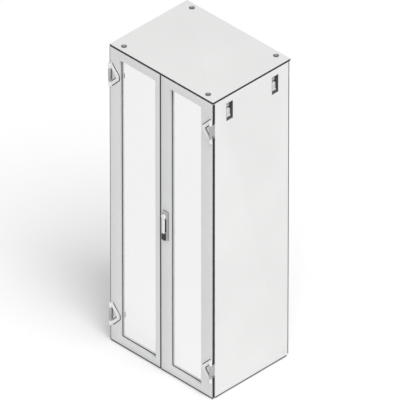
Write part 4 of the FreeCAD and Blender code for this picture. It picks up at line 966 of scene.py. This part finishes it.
@dataclass
class SidePanel:
    """A removable side panel with two quick-release latches and a fixing stud."""

    side: Side
    sheet: float = 1.5 * MM
    corner: float = 12.0 * MM
    opening_gap: float = 0.1 * MM

    def __post_init__(self) -> None:
        """Find the panel in the frame."""
        self.node = f"side_panel_{self.side.word}"
        self.body = f"{self.side.word}_side"
        self.low, self.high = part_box(self.node)
        self.outer_x = self.side.outer(self.low, self.high)

    def build(self) -> None:
        """Model the panel, its trims, its latches and its stud."""
        boxes = shells(f"latch_housings_{self.side.word}")
        self.panel(boxes)
        self.trims()
        latches = [SideLatch(self.side, *box) for box in boxes]
        for latch in latches:
            latch.pocket()
            latch.plate()
        for latch in latches:
            latch.slider()
        self.stud()

    def panel(self, boxes: list[tuple[Vector, Vector]]) -> None:
        """Folded panel with rectangular openings and a rounded bottom rear corner.

        Args:
            boxes: Lowest and highest corner of each latch pocket.
        """
        low, high, outer_x = self.low, self.high, self.outer_x
        panel = add_block(f"{self.body}_sheet", low, high)
        bottom_rear = lambda middle, direction: (
            abs(direction.x) > 0.99 and middle.y > high.y - NEAR and middle.z < low.z + NEAR
        )
        round_edges(panel, bottom_rear, self.corner, 8)
        with editing(panel, facing(Axis.X, -self.side.value)):
            bpy.ops.mesh.inset(thickness=self.sheet)
            move = Vector((self.side.value * (high.x - low.x - self.sheet), 0, 0))
            bpy.ops.mesh.extrude_region_move(TRANSFORM_OT_translate={"value": move})
        gap, reach, rim = self.opening_gap, FOLD_END, 13 * MM
        for box_low, box_high in boxes:
            cut(panel, add_block("opening_tool", (outer_x - reach, box_low.y - gap, box_low.z - gap),
                                 (outer_x + reach, box_high.y + gap, box_high.z + gap)))
        outer_edges = lambda middle, direction: (
            abs(middle.x - outer_x) < NEAR
            and (middle.y < low.y + 1 * MM or middle.y > high.y - rim and abs(direction.y) < 0.999
                 or middle.z > high.z - 1 * MM or middle.z < low.z + rim)
            and not (low.y + 50 * MM < middle.y < high.y - 50 * MM
                     and low.z + 50 * MM < middle.z < high.z - 30 * MM)
        )
        round_edges(panel, outer_edges, 1.4 * MM, 3)
        smooth(panel)
        mount(panel, self.body, "enclosure_paint", FINISHES.enclosure, self.node)

    def trims(self) -> None:
        """Black edge profiles along the foot and up the rear edge, up to the rounded corner."""
        low, high, outer_x, out = self.low, self.high, self.outer_x, self.side.value
        inner, outer = outer_x - out * TRIM_DEPTH, outer_x + out * TRIM_PROUD
        inside, skin = outer_x - out * FOLD_END, outer_x + out * TRIM_GAP
        edge_profile(f"{self.body}_foot_trim", self.body,
                     (inner, low.y + 1.0 * MM, low.z - TRIM_PROUD),
                     (outer, high.y - self.corner, low.z + TRIM_LEG),
                     ((inside, low.y - PAST, low.z - TRIM_GAP), (skin, high.y, low.z + 0.02)))
        edge_profile(f"{self.body}_rear_trim", self.body,
                     (inner, high.y - TRIM_LEG, low.z + self.corner),
                     (outer, high.y + TRIM_PROUD, high.z - 1.0 * MM),
                     ((inside, low.y, low.z), (skin, high.y + TRIM_GAP, high.z + PAST)))

    def stud(self) -> None:
        """Small captive screw near the bottom rear corner."""
        node = f"{self.node}_stud"
        low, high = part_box(node)
        seat = Vector((self.outer_x, (low.y + high.y) / 2, (low.z + high.z) / 2))
        screw = HexSocketScrew(4.0 * MM, 2.0 * MM, dish=0.4 * MM, rim=0.9 * MM, socket=1.7 * MM)
        head = screw.on(f"{self.body}_stud", [seat], Axis.X.unit() * self.side.value)
        mount(head, self.body, "screw_steel", FINISHES.zinc, node)


# ------------------------------------------------------------------ doors


@dataclass
class Door:
    """One glazed leaf: folded skin, inner frame, pane, seals and hinge arms."""

    side: Side
    sheet: float = 1.5 * MM
    flange: float = 14.0 * MM
    window_return: float = 16.5 * MM
    window_radius: float = 8.0 * MM
    glass_overlap: float = 8.0 * MM
    fold_radius: float = 1.5 * MM
    notch_width: float = 17.0 * MM
    notch_margin: float = 4.0 * MM
    seal_lip: float = 4.5 * MM
    gasket_width: float = 11.0 * MM

    def __post_init__(self) -> None:
        """Find the skin and the window opening in the frame."""
        self.word = self.side.word
        self.body = f"{self.word}_door"
        self.node = f"door_{self.word}"
        self.low, self.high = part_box(f"{self.node}_skin")
        glass_low, glass_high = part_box(f"{self.node}_glass")
        edge = Vector((self.glass_overlap, 0, self.glass_overlap))
        self.window = (glass_low + edge, glass_high - edge)

    def build(self) -> None:
        """Model and dress every piece of the leaf."""
        self.skin()
        self.seal()
        self.gasket()
        self.trims()
        self.hinges()
        self.dress_nodes()

    def skin(self) -> None:
        """Folded sheet door with a lined window opening and notches at its hinges."""
        low, front = self.low, self.low.y
        high = Vector((self.high.x, front + self.flange, self.high.z))
        skin = tray(f"{self.body}_skin", low, high, self.sheet, Axis.Y, 1)
        win_low, win_high = self.window
        back = front + self.window_return
        wall = Vector((self.sheet, 0, self.sheet))
        lining = add_block("lining_tool", Vector((win_low.x, front + 0.5 * MM, win_low.z)) - wall,
                           Vector((win_high.x, back, win_high.z)) + wall)
        round_edges(lining, along(Axis.Y), self.window_radius + self.sheet, 8)
        hole = add_block("hole_tool", (win_low.x, front - PAST, win_low.z),
                         (win_high.x, back + PAST, win_high.z))
        round_edges(hole, along(Axis.Y), self.window_radius, 8)
        fuse(skin, lining)
        cut(skin, hole, *self.notch_tools())
        round_edges(skin, lambda middle, direction: abs(middle.y - front) < 1e-5, self.fold_radius, 3)
        smooth(skin)
        # The skin takes the darker door paint: painted shade on the front faces
        mount(skin, self.body, "door_paint", FINISHES.door, f"{self.node}_skin")

    def notch_tools(self) -> list[Piece]:
        """Cutters for the notches that the hinge brackets pass through."""
        edge, front = self.side.outer(self.low, self.high), self.low.y
        inner = edge - self.side.value * self.notch_width
        outer = edge + self.side.value * PAST
        tools = []
        for low, high in shells("hinge_brackets"):
            if (low.x > 0) == (self.side is Side.RIGHT):
                tools.append(add_block("notch_tool", (inner, front - 0.02, low.z - self.notch_margin),
                                       (outer, front + 0.03, high.z + self.notch_margin)))
        return tools

    def seal(self) -> None:
        """Rubber glazing bead round the opening, with a soft lip on the glass."""
        node = f"{self.node}_glazing_seal"
        low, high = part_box(node)
        win_low, win_high = self.window
        lip = self.seal_lip
        bead = add_block(f"{self.word}_glazing_bead", low, high)
        hole = add_block("hole_tool", (win_low.x + lip, low.y - PAST, win_low.z + lip),
                         (win_high.x - lip, high.y + PAST, win_high.z - lip))
        round_edges(hole, along(Axis.Y), self.window_radius - 1.5 * MM, 6)
        cut(bead, hole)
        soften(bead, 0.6 * MM)
        mount_rubber(bead, self.body, node)

    def gasket(self) -> None:
        """Foam gasket with a rounded crown on the three sides that meet the frame."""
        node = f"{self.node}_gasket"
        low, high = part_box(node)
        width, out = self.gasket_width, self.side.value
        outer_x, end_x = self.side.outer(low, high), self.side.inner(low, high)
        lap_x = outer_x - out * width * 0.5
        gasket = add_block("strip_a", (outer_x - out * width, low.y, low.z), (outer_x, high.y, high.z))
        fuse(gasket, add_block("strip_b", (end_x, low.y, high.z - width), (lap_x, high.y, high.z)),
             add_block("strip_c", (end_x, low.y, low.z), (lap_x, high.y, low.z + width)))
        round_edges(gasket, lambda middle, direction: middle.y > high.y - NEAR, 3.5 * MM, 4)
        smooth(gasket, 50)
        gasket.name = f"{self.body}_gasket"
        mount(gasket, self.body, "foam", FINISHES.foam, node)

    def trims(self) -> None:
        """Black edge profiles on the hinge edge and the bottom, and a lipped seal where the doors meet, whose
        black is partly painted shadow in the seam.
        """
        low, high, out = self.low, self.high, self.side.value
        edge, inner = self.side.outer(low, high), self.side.inner(low, high)
        skin_y, proud_y = low.y - TRIM_GAP, low.y - TRIM_PROUD
        end = 3 * MM
        edge_profile(f"{self.word}_hinge_edge_trim", self.body,
                     (edge - out * 2.4 * MM, proud_y, low.z + end),
                     (edge + out * TRIM_PROUD, low.y + self.flange - 0.2 * MM, high.z - end),
                     ((edge - out * FOLD_END, skin_y, low.z), (edge + out * TRIM_GAP, high.y + PAST, high.z)),
                     *self.notch_tools())
        edge_profile(f"{self.word}_bottom_edge_trim", self.body,
                     (inner + out * 1.5 * MM, proud_y, low.z - TRIM_PROUD),
                     (edge - out * 0.3 * MM, low.y + TRIM_DEPTH, low.z + TRIM_LEG),
                     ((inner - out * 5 * MM, skin_y, low.z - TRIM_GAP),
                      (edge + out * 5 * MM, low.y + 0.02, low.z + 0.02)))
        if self.side is Side.LEFT:
            # Black seal in the seam between the doors: partly a real seal, partly painted shadow in the gap
            seal = add_block("meeting_seal_and_shadow", (high.x - 5.0 * MM, low.y - 0.8 * MM, low.z + end),
                             (high.x + 1.9 * MM, low.y + 0.1 * MM, high.z - end))
            fuse(seal, add_block("web_tool", (high.x - 0.1 * MM, low.y - 0.1 * MM, low.z + end + 0.1 * MM),
                                 (high.x + 1.8 * MM, low.y + 9.0 * MM, high.z - end - 0.1 * MM)))
            soften(seal, 0.3 * MM)
            mount_rubber(seal, self.body)

    def hinges(self) -> None:
        """Both bow arms of this leaf, each on a black pad."""
        node = f"{self.node}_hinge_arms"
        bows = [BowHinge(low, high, self.side) for low, high in shells(node)]
        arms = join([bow.arm(i) for i, bow in enumerate(bows)], f"{self.word}_bow_arms")
        mount(arms, self.body, "hinge_metal", FINISHES.hinge, node)
        mount_rubber(join([bow.pad(i) for i, bow in enumerate(bows)], f"{self.word}_hinge_pads"), self.body)

    def dress_nodes(self) -> None:
        """Finishes for the pieces whose frame shape is kept."""
        PAINT.coat_nodes(FINISHES.glass, f"{self.node}_glass")
        PAINT.coat_nodes(FINISHES.galvanised, f"{self.node}_tube_frame", f"{self.node}_glass_retainers")
        PAINT.coat_nodes(FINISHES.zinc, f"{self.node}_screws")


# ------------------------------------------------------------------ hinges


@dataclass
class BowHinge:
    """External bow hinge: the door's arm and its pad, or the frame's bracket."""

    low: Vector
    high: Vector
    side: Side
    knuckle_radius: float = 8.0 * MM
    pin_radius: float = 4.0 * MM
    band: float = 18.0 * MM
    apex_half: float = 13.5 * MM
    pad_margin: float = 5.0 * MM
    pad_thickness: float = 1.3 * MM
    plate: float = 8.0 * MM
    groove_inset: float = 4.0 * MM
    groove_depth: float = 1.4 * MM
    upper_knuckle: float = 32.0 * MM
    lower_knuckle: float = 27.0 * MM

    def __post_init__(self) -> None:
        """Find the hinge axis inside the box."""
        self.out = self.side.value
        self.axis_x = self.side.outer(self.low, self.high) - self.out * self.knuckle_radius
        self.axis_y = self.low.y + self.knuckle_radius

    def drum(self, name: str, radius: float, z0: float, z1: float, sides: int) -> Piece:
        """A bar round the hinge axis.

        Args:
            name: The bar's name.
            radius: Its radius.
            z0: Its lower end.
            z1: Its upper end.
            sides: Number of flats round it.

        Returns:
            The bar.
        """
        return add_drum(name, radius, (self.axis_x, self.axis_y, z0), (self.axis_x, self.axis_y, z1), sides)

    def box(self, name: str, start: Point, end: Point) -> Piece:
        """A block beside the hinge axis.

        Args:
            name: The block's name.
            start: One corner, with X measured outwards from the axis.
            end: The opposite corner, likewise.

        Returns:
            The block.
        """
        corners = [(self.axis_x + self.out * x, y, z) for x, y, z in (start, end)]
        return add_block(name, *corners)

    def wedge(self, name: str, margin: float, y0: float, y1: float) -> Piece:
        """A trapezoid plate, cut from a block by two slanting planes.

        Args:
            name: The plate's name.
            margin: How far its outline lies inside the arm's outline.
            y0: Front of the plate.
            y1: Back of the plate.

        Returns:
            The plate.
        """
        outer_x = self.axis_x - self.out * self.knuckle_radius
        tip_x = self.side.inner(self.low, self.high)
        middle = (self.low.z + self.high.z) / 2
        reach = (self.high.z - self.low.z) / 2
        plate = add_block(name, (outer_x, y0, self.low.z), (tip_x + self.out * margin, y1, self.high.z))
        slope = Vector((outer_x - tip_x, 0, reach - self.apex_half))
        for sign in (1, -1):
            normal = Vector((-self.out * slope.z, 0, self.out * sign * slope.x)).normalized()
            point = Vector((tip_x, 0, middle + sign * self.apex_half)) - normal * margin
            with editing(plate):
                bpy.ops.mesh.bisect(plane_co=point, plane_no=normal, use_fill=True, clear_outer=True)
        return plate

    def arm(self, index: int) -> Piece:
        """The door's bow: a rounded band with an open middle, and its two knuckles.

        Args:
            index: Number of the arm, for its name.

        Returns:
            The arm.
        """
        name = f"{self.side.word}_arm_{index}"
        back, front = self.high.y, self.high.y - self.plate
        bow = self.wedge(name, 0.0, front, back)
        cut(bow, self.wedge("hole_tool", self.band, front - PAST, back + PAST))
        gap_low, gap_high = self.low.z + self.lower_knuckle, self.high.z - self.upper_knuckle
        cut(bow, self.box("slot_tool", (-12 * MM, front - PAST, gap_low), (12 * MM, back + PAST, gap_high)))
        with editing(bow, facing(Axis.Y, -1)):
            bpy.ops.mesh.inset(thickness=self.groove_inset, depth=0.0, use_boundary=True)
            bpy.ops.mesh.inset(thickness=self.groove_depth, depth=-self.groove_depth, use_boundary=True)
        soften(bow, 1.2 * MM, 3, 25)
        parts = [bow]
        for z0, z1 in ((gap_high, self.high.z), (self.low.z, gap_low)):
            knuckle = self.drum("knuckle", self.knuckle_radius, z0, z1, 40)
            fuse(knuckle, self.box("seat", (-7.6 * MM, self.axis_y + 1 * MM, z0 + 0.3 * MM),
                                   (0.5 * MM, back, z1 - 0.3 * MM)))
            cut(knuckle, self.drum("bore_tool", self.pin_radius + 0.1 * MM, z0 - PAST, z1 + PAST, 32))
            soften(knuckle, 0.9 * MM, 3, 50)
            parts.append(knuckle)
        return join(parts, name)

    def pad(self, index: int) -> Piece:
        """Thin pad between the bow and the door, a little wider than the bow.

        Args:
            index: Number of the pad, for its name.

        Returns:
            The pad.
        """
        back, face, overlap = self.high.y, self.high.y - self.pad_thickness, 4 * MM
        pad = self.wedge(f"{self.side.word}_pad_{index}", -self.pad_margin, face, back + 0.05 * MM)
        hole = self.wedge("hole_tool", self.band + self.pad_margin, face - PAST, back + PAST)
        cut(pad, hole, self.box(
            "slot_tool", (-10 * MM, face - PAST, self.low.z + self.lower_knuckle - overlap),
            (12 * MM, back + PAST, self.high.z - self.upper_knuckle + overlap),
        ))
        soften(pad, 0.3 * MM)
        return pad

    def bracket(self, index: int) -> Piece:
        """The frame's bracket: centre knuckle, web and foot.

        Args:
            index: Number of the bracket, for its name.

        Returns:
            The bracket.
        """
        z0, z1, back = self.low.z, self.high.z, self.high.y
        bracket = self.drum(f"{self.side.word}_bracket_{index}", self.knuckle_radius, z0, z1, 40)
        web = self.box("web", (-4 * MM, self.axis_y + 3 * MM, z0 + 0.2 * MM),
                       (2 * MM, back - 0.1 * MM, z1 - 0.2 * MM))
        foot = self.box("foot", (-28 * MM, back - 3 * MM, z0 + 0.1 * MM), (2 * MM, back, z1 - 0.1 * MM))
        fuse(bracket, web, foot)
        cut(bracket, self.drum("bore_tool", self.pin_radius, z0 - PAST, z1 + PAST, 32))
        soften(bracket, 0.8 * MM, 2, 50)
        return bracket


@dataclass
class HingeBrackets:
    """The frame's half of the four hinges."""

    body: str = "carcass"

    def build(self) -> None:
        """Model the brackets and the pins."""
        brackets = []
        for i, (low, high) in enumerate(shells("hinge_brackets")):
            side = Side.RIGHT if low.x > 0 else Side.LEFT
            brackets.append(BowHinge(low, high, side).bracket(i))
        brackets = join(brackets, "hinge_bracket_set")
        mount(brackets, self.body, "hinge_metal", FINISHES.bracket, "hinge_brackets")
        pins = []
        for i, (low, high) in enumerate(shells("hinge_pins")):
            centre = (low + high) / 2
            pins.append(add_drum(f"pin_{i}", (high.x - low.x) / 2, (centre.x, centre.y, low.z),
                                 (centre.x, centre.y, high.z), 32))
            soften(pins[i], 1.2 * MM, 3)
        mount(join(pins, "hinge_pin_set"), self.body, "steel_plain", FINISHES.steel, "hinge_pins")


# ------------------------------------------------------------------ handle and lock


@dataclass
class SwingHandle:
    """Escutcheon, pivot head, lever, lock block and cylinder on the right leaf."""

    body: str = "right_door"
    corner: float = 6.0 * MM
    rim: float = 4.0 * MM
    scoop_depth: float = 7.0 * MM
    gasket_margin: float = 1.8 * MM

    def build(self) -> None:
        """Model and dress the handle and the rod lock behind it."""
        self.escutcheon()
        self.lever()
        PAINT.coat_nodes(FINISHES.lever, "handle_spindle")
        self.lock()
        PAINT.coat_nodes(FINISHES.steel, "lock_rod_upper", "lock_rod_lower", "lever_pivot_pin",
                         "shoot_bolt_upper", "shoot_bolt_lower")
        PAINT.coat_nodes(FINISHES.galvanised, "rod_guides", "lock_case", "shoot_bolt_guides")

    def escutcheon(self) -> None:
        """Plate with rounded ends, a raised rim and a scoop behind the grip, on a gasket; a black plate on
        the scoop's floor is painted shade behind the lever.
        """
        low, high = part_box("handle_escutcheon")
        scoop_low = Vector((low.x + self.rim, low.y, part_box("handle_lock_block")[1].z + 3 * MM))
        scoop_high = Vector((high.x - self.rim, low.y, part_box("handle_spindle")[0].z - 3 * MM))
        plate = add_block("escutcheon_plate", low, high)
        round_edges(plate, along(Axis.Y), self.corner, 8)
        scoop = add_block("scoop_tool", scoop_low - Vector((0, PAST, 0)),
                          scoop_high + Vector((0, self.scoop_depth, 0)))
        round_edges(scoop, along(Axis.Y), 6.0 * MM, 6)
        cut(plate, scoop)
        soften(plate, 1.5 * MM, 4, 50)
        mount(plate, self.body, "handle_grey", FINISHES.handle, "handle_escutcheon")
        margin = Vector((self.gasket_margin, 0, self.gasket_margin))
        gasket = add_block("handle_gasket", Vector((low.x, high.y - 1.4 * MM, low.z)) - margin, high + margin)
        round_edges(gasket, along(Axis.Y), self.corner + self.gasket_margin, 8)
        soften(gasket, 0.35 * MM, 2, 50)
        mount_rubber(gasket, self.body)
        # Black plate on the scoop's floor: painted shade behind the lever
        inset = 0.6 * MM
        scoop_shade = add_block("grip_scoop_shade", scoop_low + Vector((inset, self.scoop_depth - 0.8 * MM, inset)),
                          scoop_high + Vector((-inset, self.scoop_depth + 0.1 * MM, -inset)))
        round_edges(scoop_shade, along(Axis.Y), 5.4 * MM, 6)
        soften(scoop_shade, 0.3 * MM)
        mount(scoop_shade, self.body, "black_plastic", FINISHES.black)

    def lever(self) -> None:
        """Straight grip with rounded flanks and a tongue at the pivot."""
        low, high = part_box("handle_lever")
        shoulder = high.z - 15.0 * MM
        grip = add_block("lever_grip", low, (high.x, high.y, shoulder))
        round_edges(grip, along(Axis.Z), 3.6 * MM, 5)
        centre = (low.x + high.x) / 2
        tongue = add_block("tongue_tool", (centre - 4.5 * MM, high.y - 10.5 * MM, shoulder - 4 * MM),
                           (centre + 4.5 * MM, high.y - 0.5 * MM, high.z))
        top = lambda middle, direction: abs(direction.x) > 0.99 and middle.z > high.z - NEAR
        round_edges(tongue, top, 4.9 * MM, 8)
        fuse(grip, tongue)
        soften(grip, 1.0 * MM, 3, 50)
        mount(grip, "lever", "lever_metal", FINISHES.lever, "handle_lever")

    def lock(self) -> None:
        """Black lock block bored for its cylinder."""
        low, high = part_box("handle_lock_block")
        block = add_block("lock_block_body", low, high)
        round_edges(block, along(Axis.Y), 3.0 * MM, 6)
        cylinder_low, cylinder_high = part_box("lock_cylinder")
        radius = (cylinder_high.x - cylinder_low.x) / 2 + 0.15 * MM
        x, z = (low.x + high.x) / 2, (low.z + high.z) / 2
        cut(block, add_drum("bore_tool", radius, (x, low.y - PAST, z), (x, high.y + PAST, z), 48))
        soften(block, 0.8 * MM, 3, 50)
        mount(block, self.body, "black_plastic", FINISHES.black, "handle_lock_block")
        PAINT.coat_nodes(FINISHES.dark_steel, "lock_cylinder")


# ------------------------------------------------------------------ studio


@dataclass
class Studio:
    """Pale floor, soft lights and the camera."""

    centre: Point = (0.0, 0.0, 1.0)
    azimuth: float = 45.0
    elevation: float = 35.2644
    lens: float = 1500.0
    sensor: float = 36.0
    frame_height: float = 2.2045
    slide: tuple[float, float] = (0.0, 0.0)
    floor_size: float = 60.0
    world_strength: float = 0.50
    key_from: Point = (0.46, -0.16, 0.87)
    key_strength: float = 2.0
    key_angle: float = 38.0

    def build(self) -> None:
        """Set up floor, world, lights and camera."""
        bpy.context.scene.view_settings.view_transform = "Standard"
        self.floor()
        self.world()
        self.key()
        self.camera()

    def floor(self) -> None:
        """Wide pale floor just under the cabinet."""
        clear_selection()
        bpy.ops.mesh.primitive_plane_add(size=self.floor_size, location=(0, 0, 0))
        plane = settle(bpy.context.object, "studio_floor")
        graph = Graph("studio_floor_paint")
        tone = graph.ramp(graph.noise(0.8, 3.0), 0.2, 0.8, (0.95, 0.95, 0.95), (0.97, 0.97, 0.97))
        shader = graph.node("BsdfPrincipled", Base_Color=tone, Roughness=0.9)
        plane.data.materials.append(graph.finish(shader))
        plane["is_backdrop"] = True

    def world(self) -> None:
        """Even white surroundings."""
        world = bpy.data.worlds.new("studio_world")
        world.use_nodes = True
        background = world.node_tree.nodes["Background"]
        background.inputs["Color"].default_value = (1.0, 1.0, 1.0, 1.0)
        background.inputs["Strength"].default_value = self.world_strength
        bpy.context.scene.world = world

    def key(self) -> None:
        """Large soft key light from above, to the right of the front."""
        data = bpy.data.lights.new("key_light", "SUN")
        data.energy = self.key_strength
        data.angle = math.radians(self.key_angle)
        lamp = bpy.data.objects.new("key_light", data)
        lamp.location = Vector(self.key_from) * 6.0
        lamp.rotation_euler = (-Vector(self.key_from)).to_track_quat("-Z", "Y").to_euler()
        bpy.context.scene.collection.objects.link(lamp)

    def camera(self) -> None:
        """Long-lens camera at the three-quarter view from above."""
        data = bpy.data.cameras.new("studio_camera")
        data.type = "PERSP"
        data.lens = self.lens
        data.sensor_width = self.sensor
        distance = self.frame_height * self.lens / self.sensor
        data.clip_start = 1.0
        data.clip_end = distance * 2
        camera = bpy.data.objects.new("studio_camera", data)
        a, e = math.radians(self.azimuth), math.radians(self.elevation)
        back = Vector((math.sin(a) * math.cos(e), -math.cos(a) * math.cos(e), math.sin(e)))
        right = Vector((math.cos(a), math.sin(a), 0.0))
        up = back.cross(right)
        target = Vector(self.centre) + right * self.slide[0] + up * self.slide[1]
        camera.location = target + back * distance
        camera.rotation_euler = (-back).to_track_quat("-Z", "Y").to_euler()
        bpy.context.scene.collection.objects.link(camera)
        bpy.context.scene.camera = camera


def main() -> None:
    """Build the studio and every sub-assembly."""
    logging.basicConfig(level=logging.INFO, format="%(name)s: %(message)s")
    frame_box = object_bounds()
    Studio().build()
    Carcass().build()
    HingeBrackets().build()
    for side in Side:
        SidePanel(side).build()
        Door(side).build()
    SwingHandle().build()
    clear_selection()
    sizes = {
        "frame": [list(corner) for corner in frame_box],
        "visual": [list(corner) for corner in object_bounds()],
    }


if __name__ == "__main__":
    main()
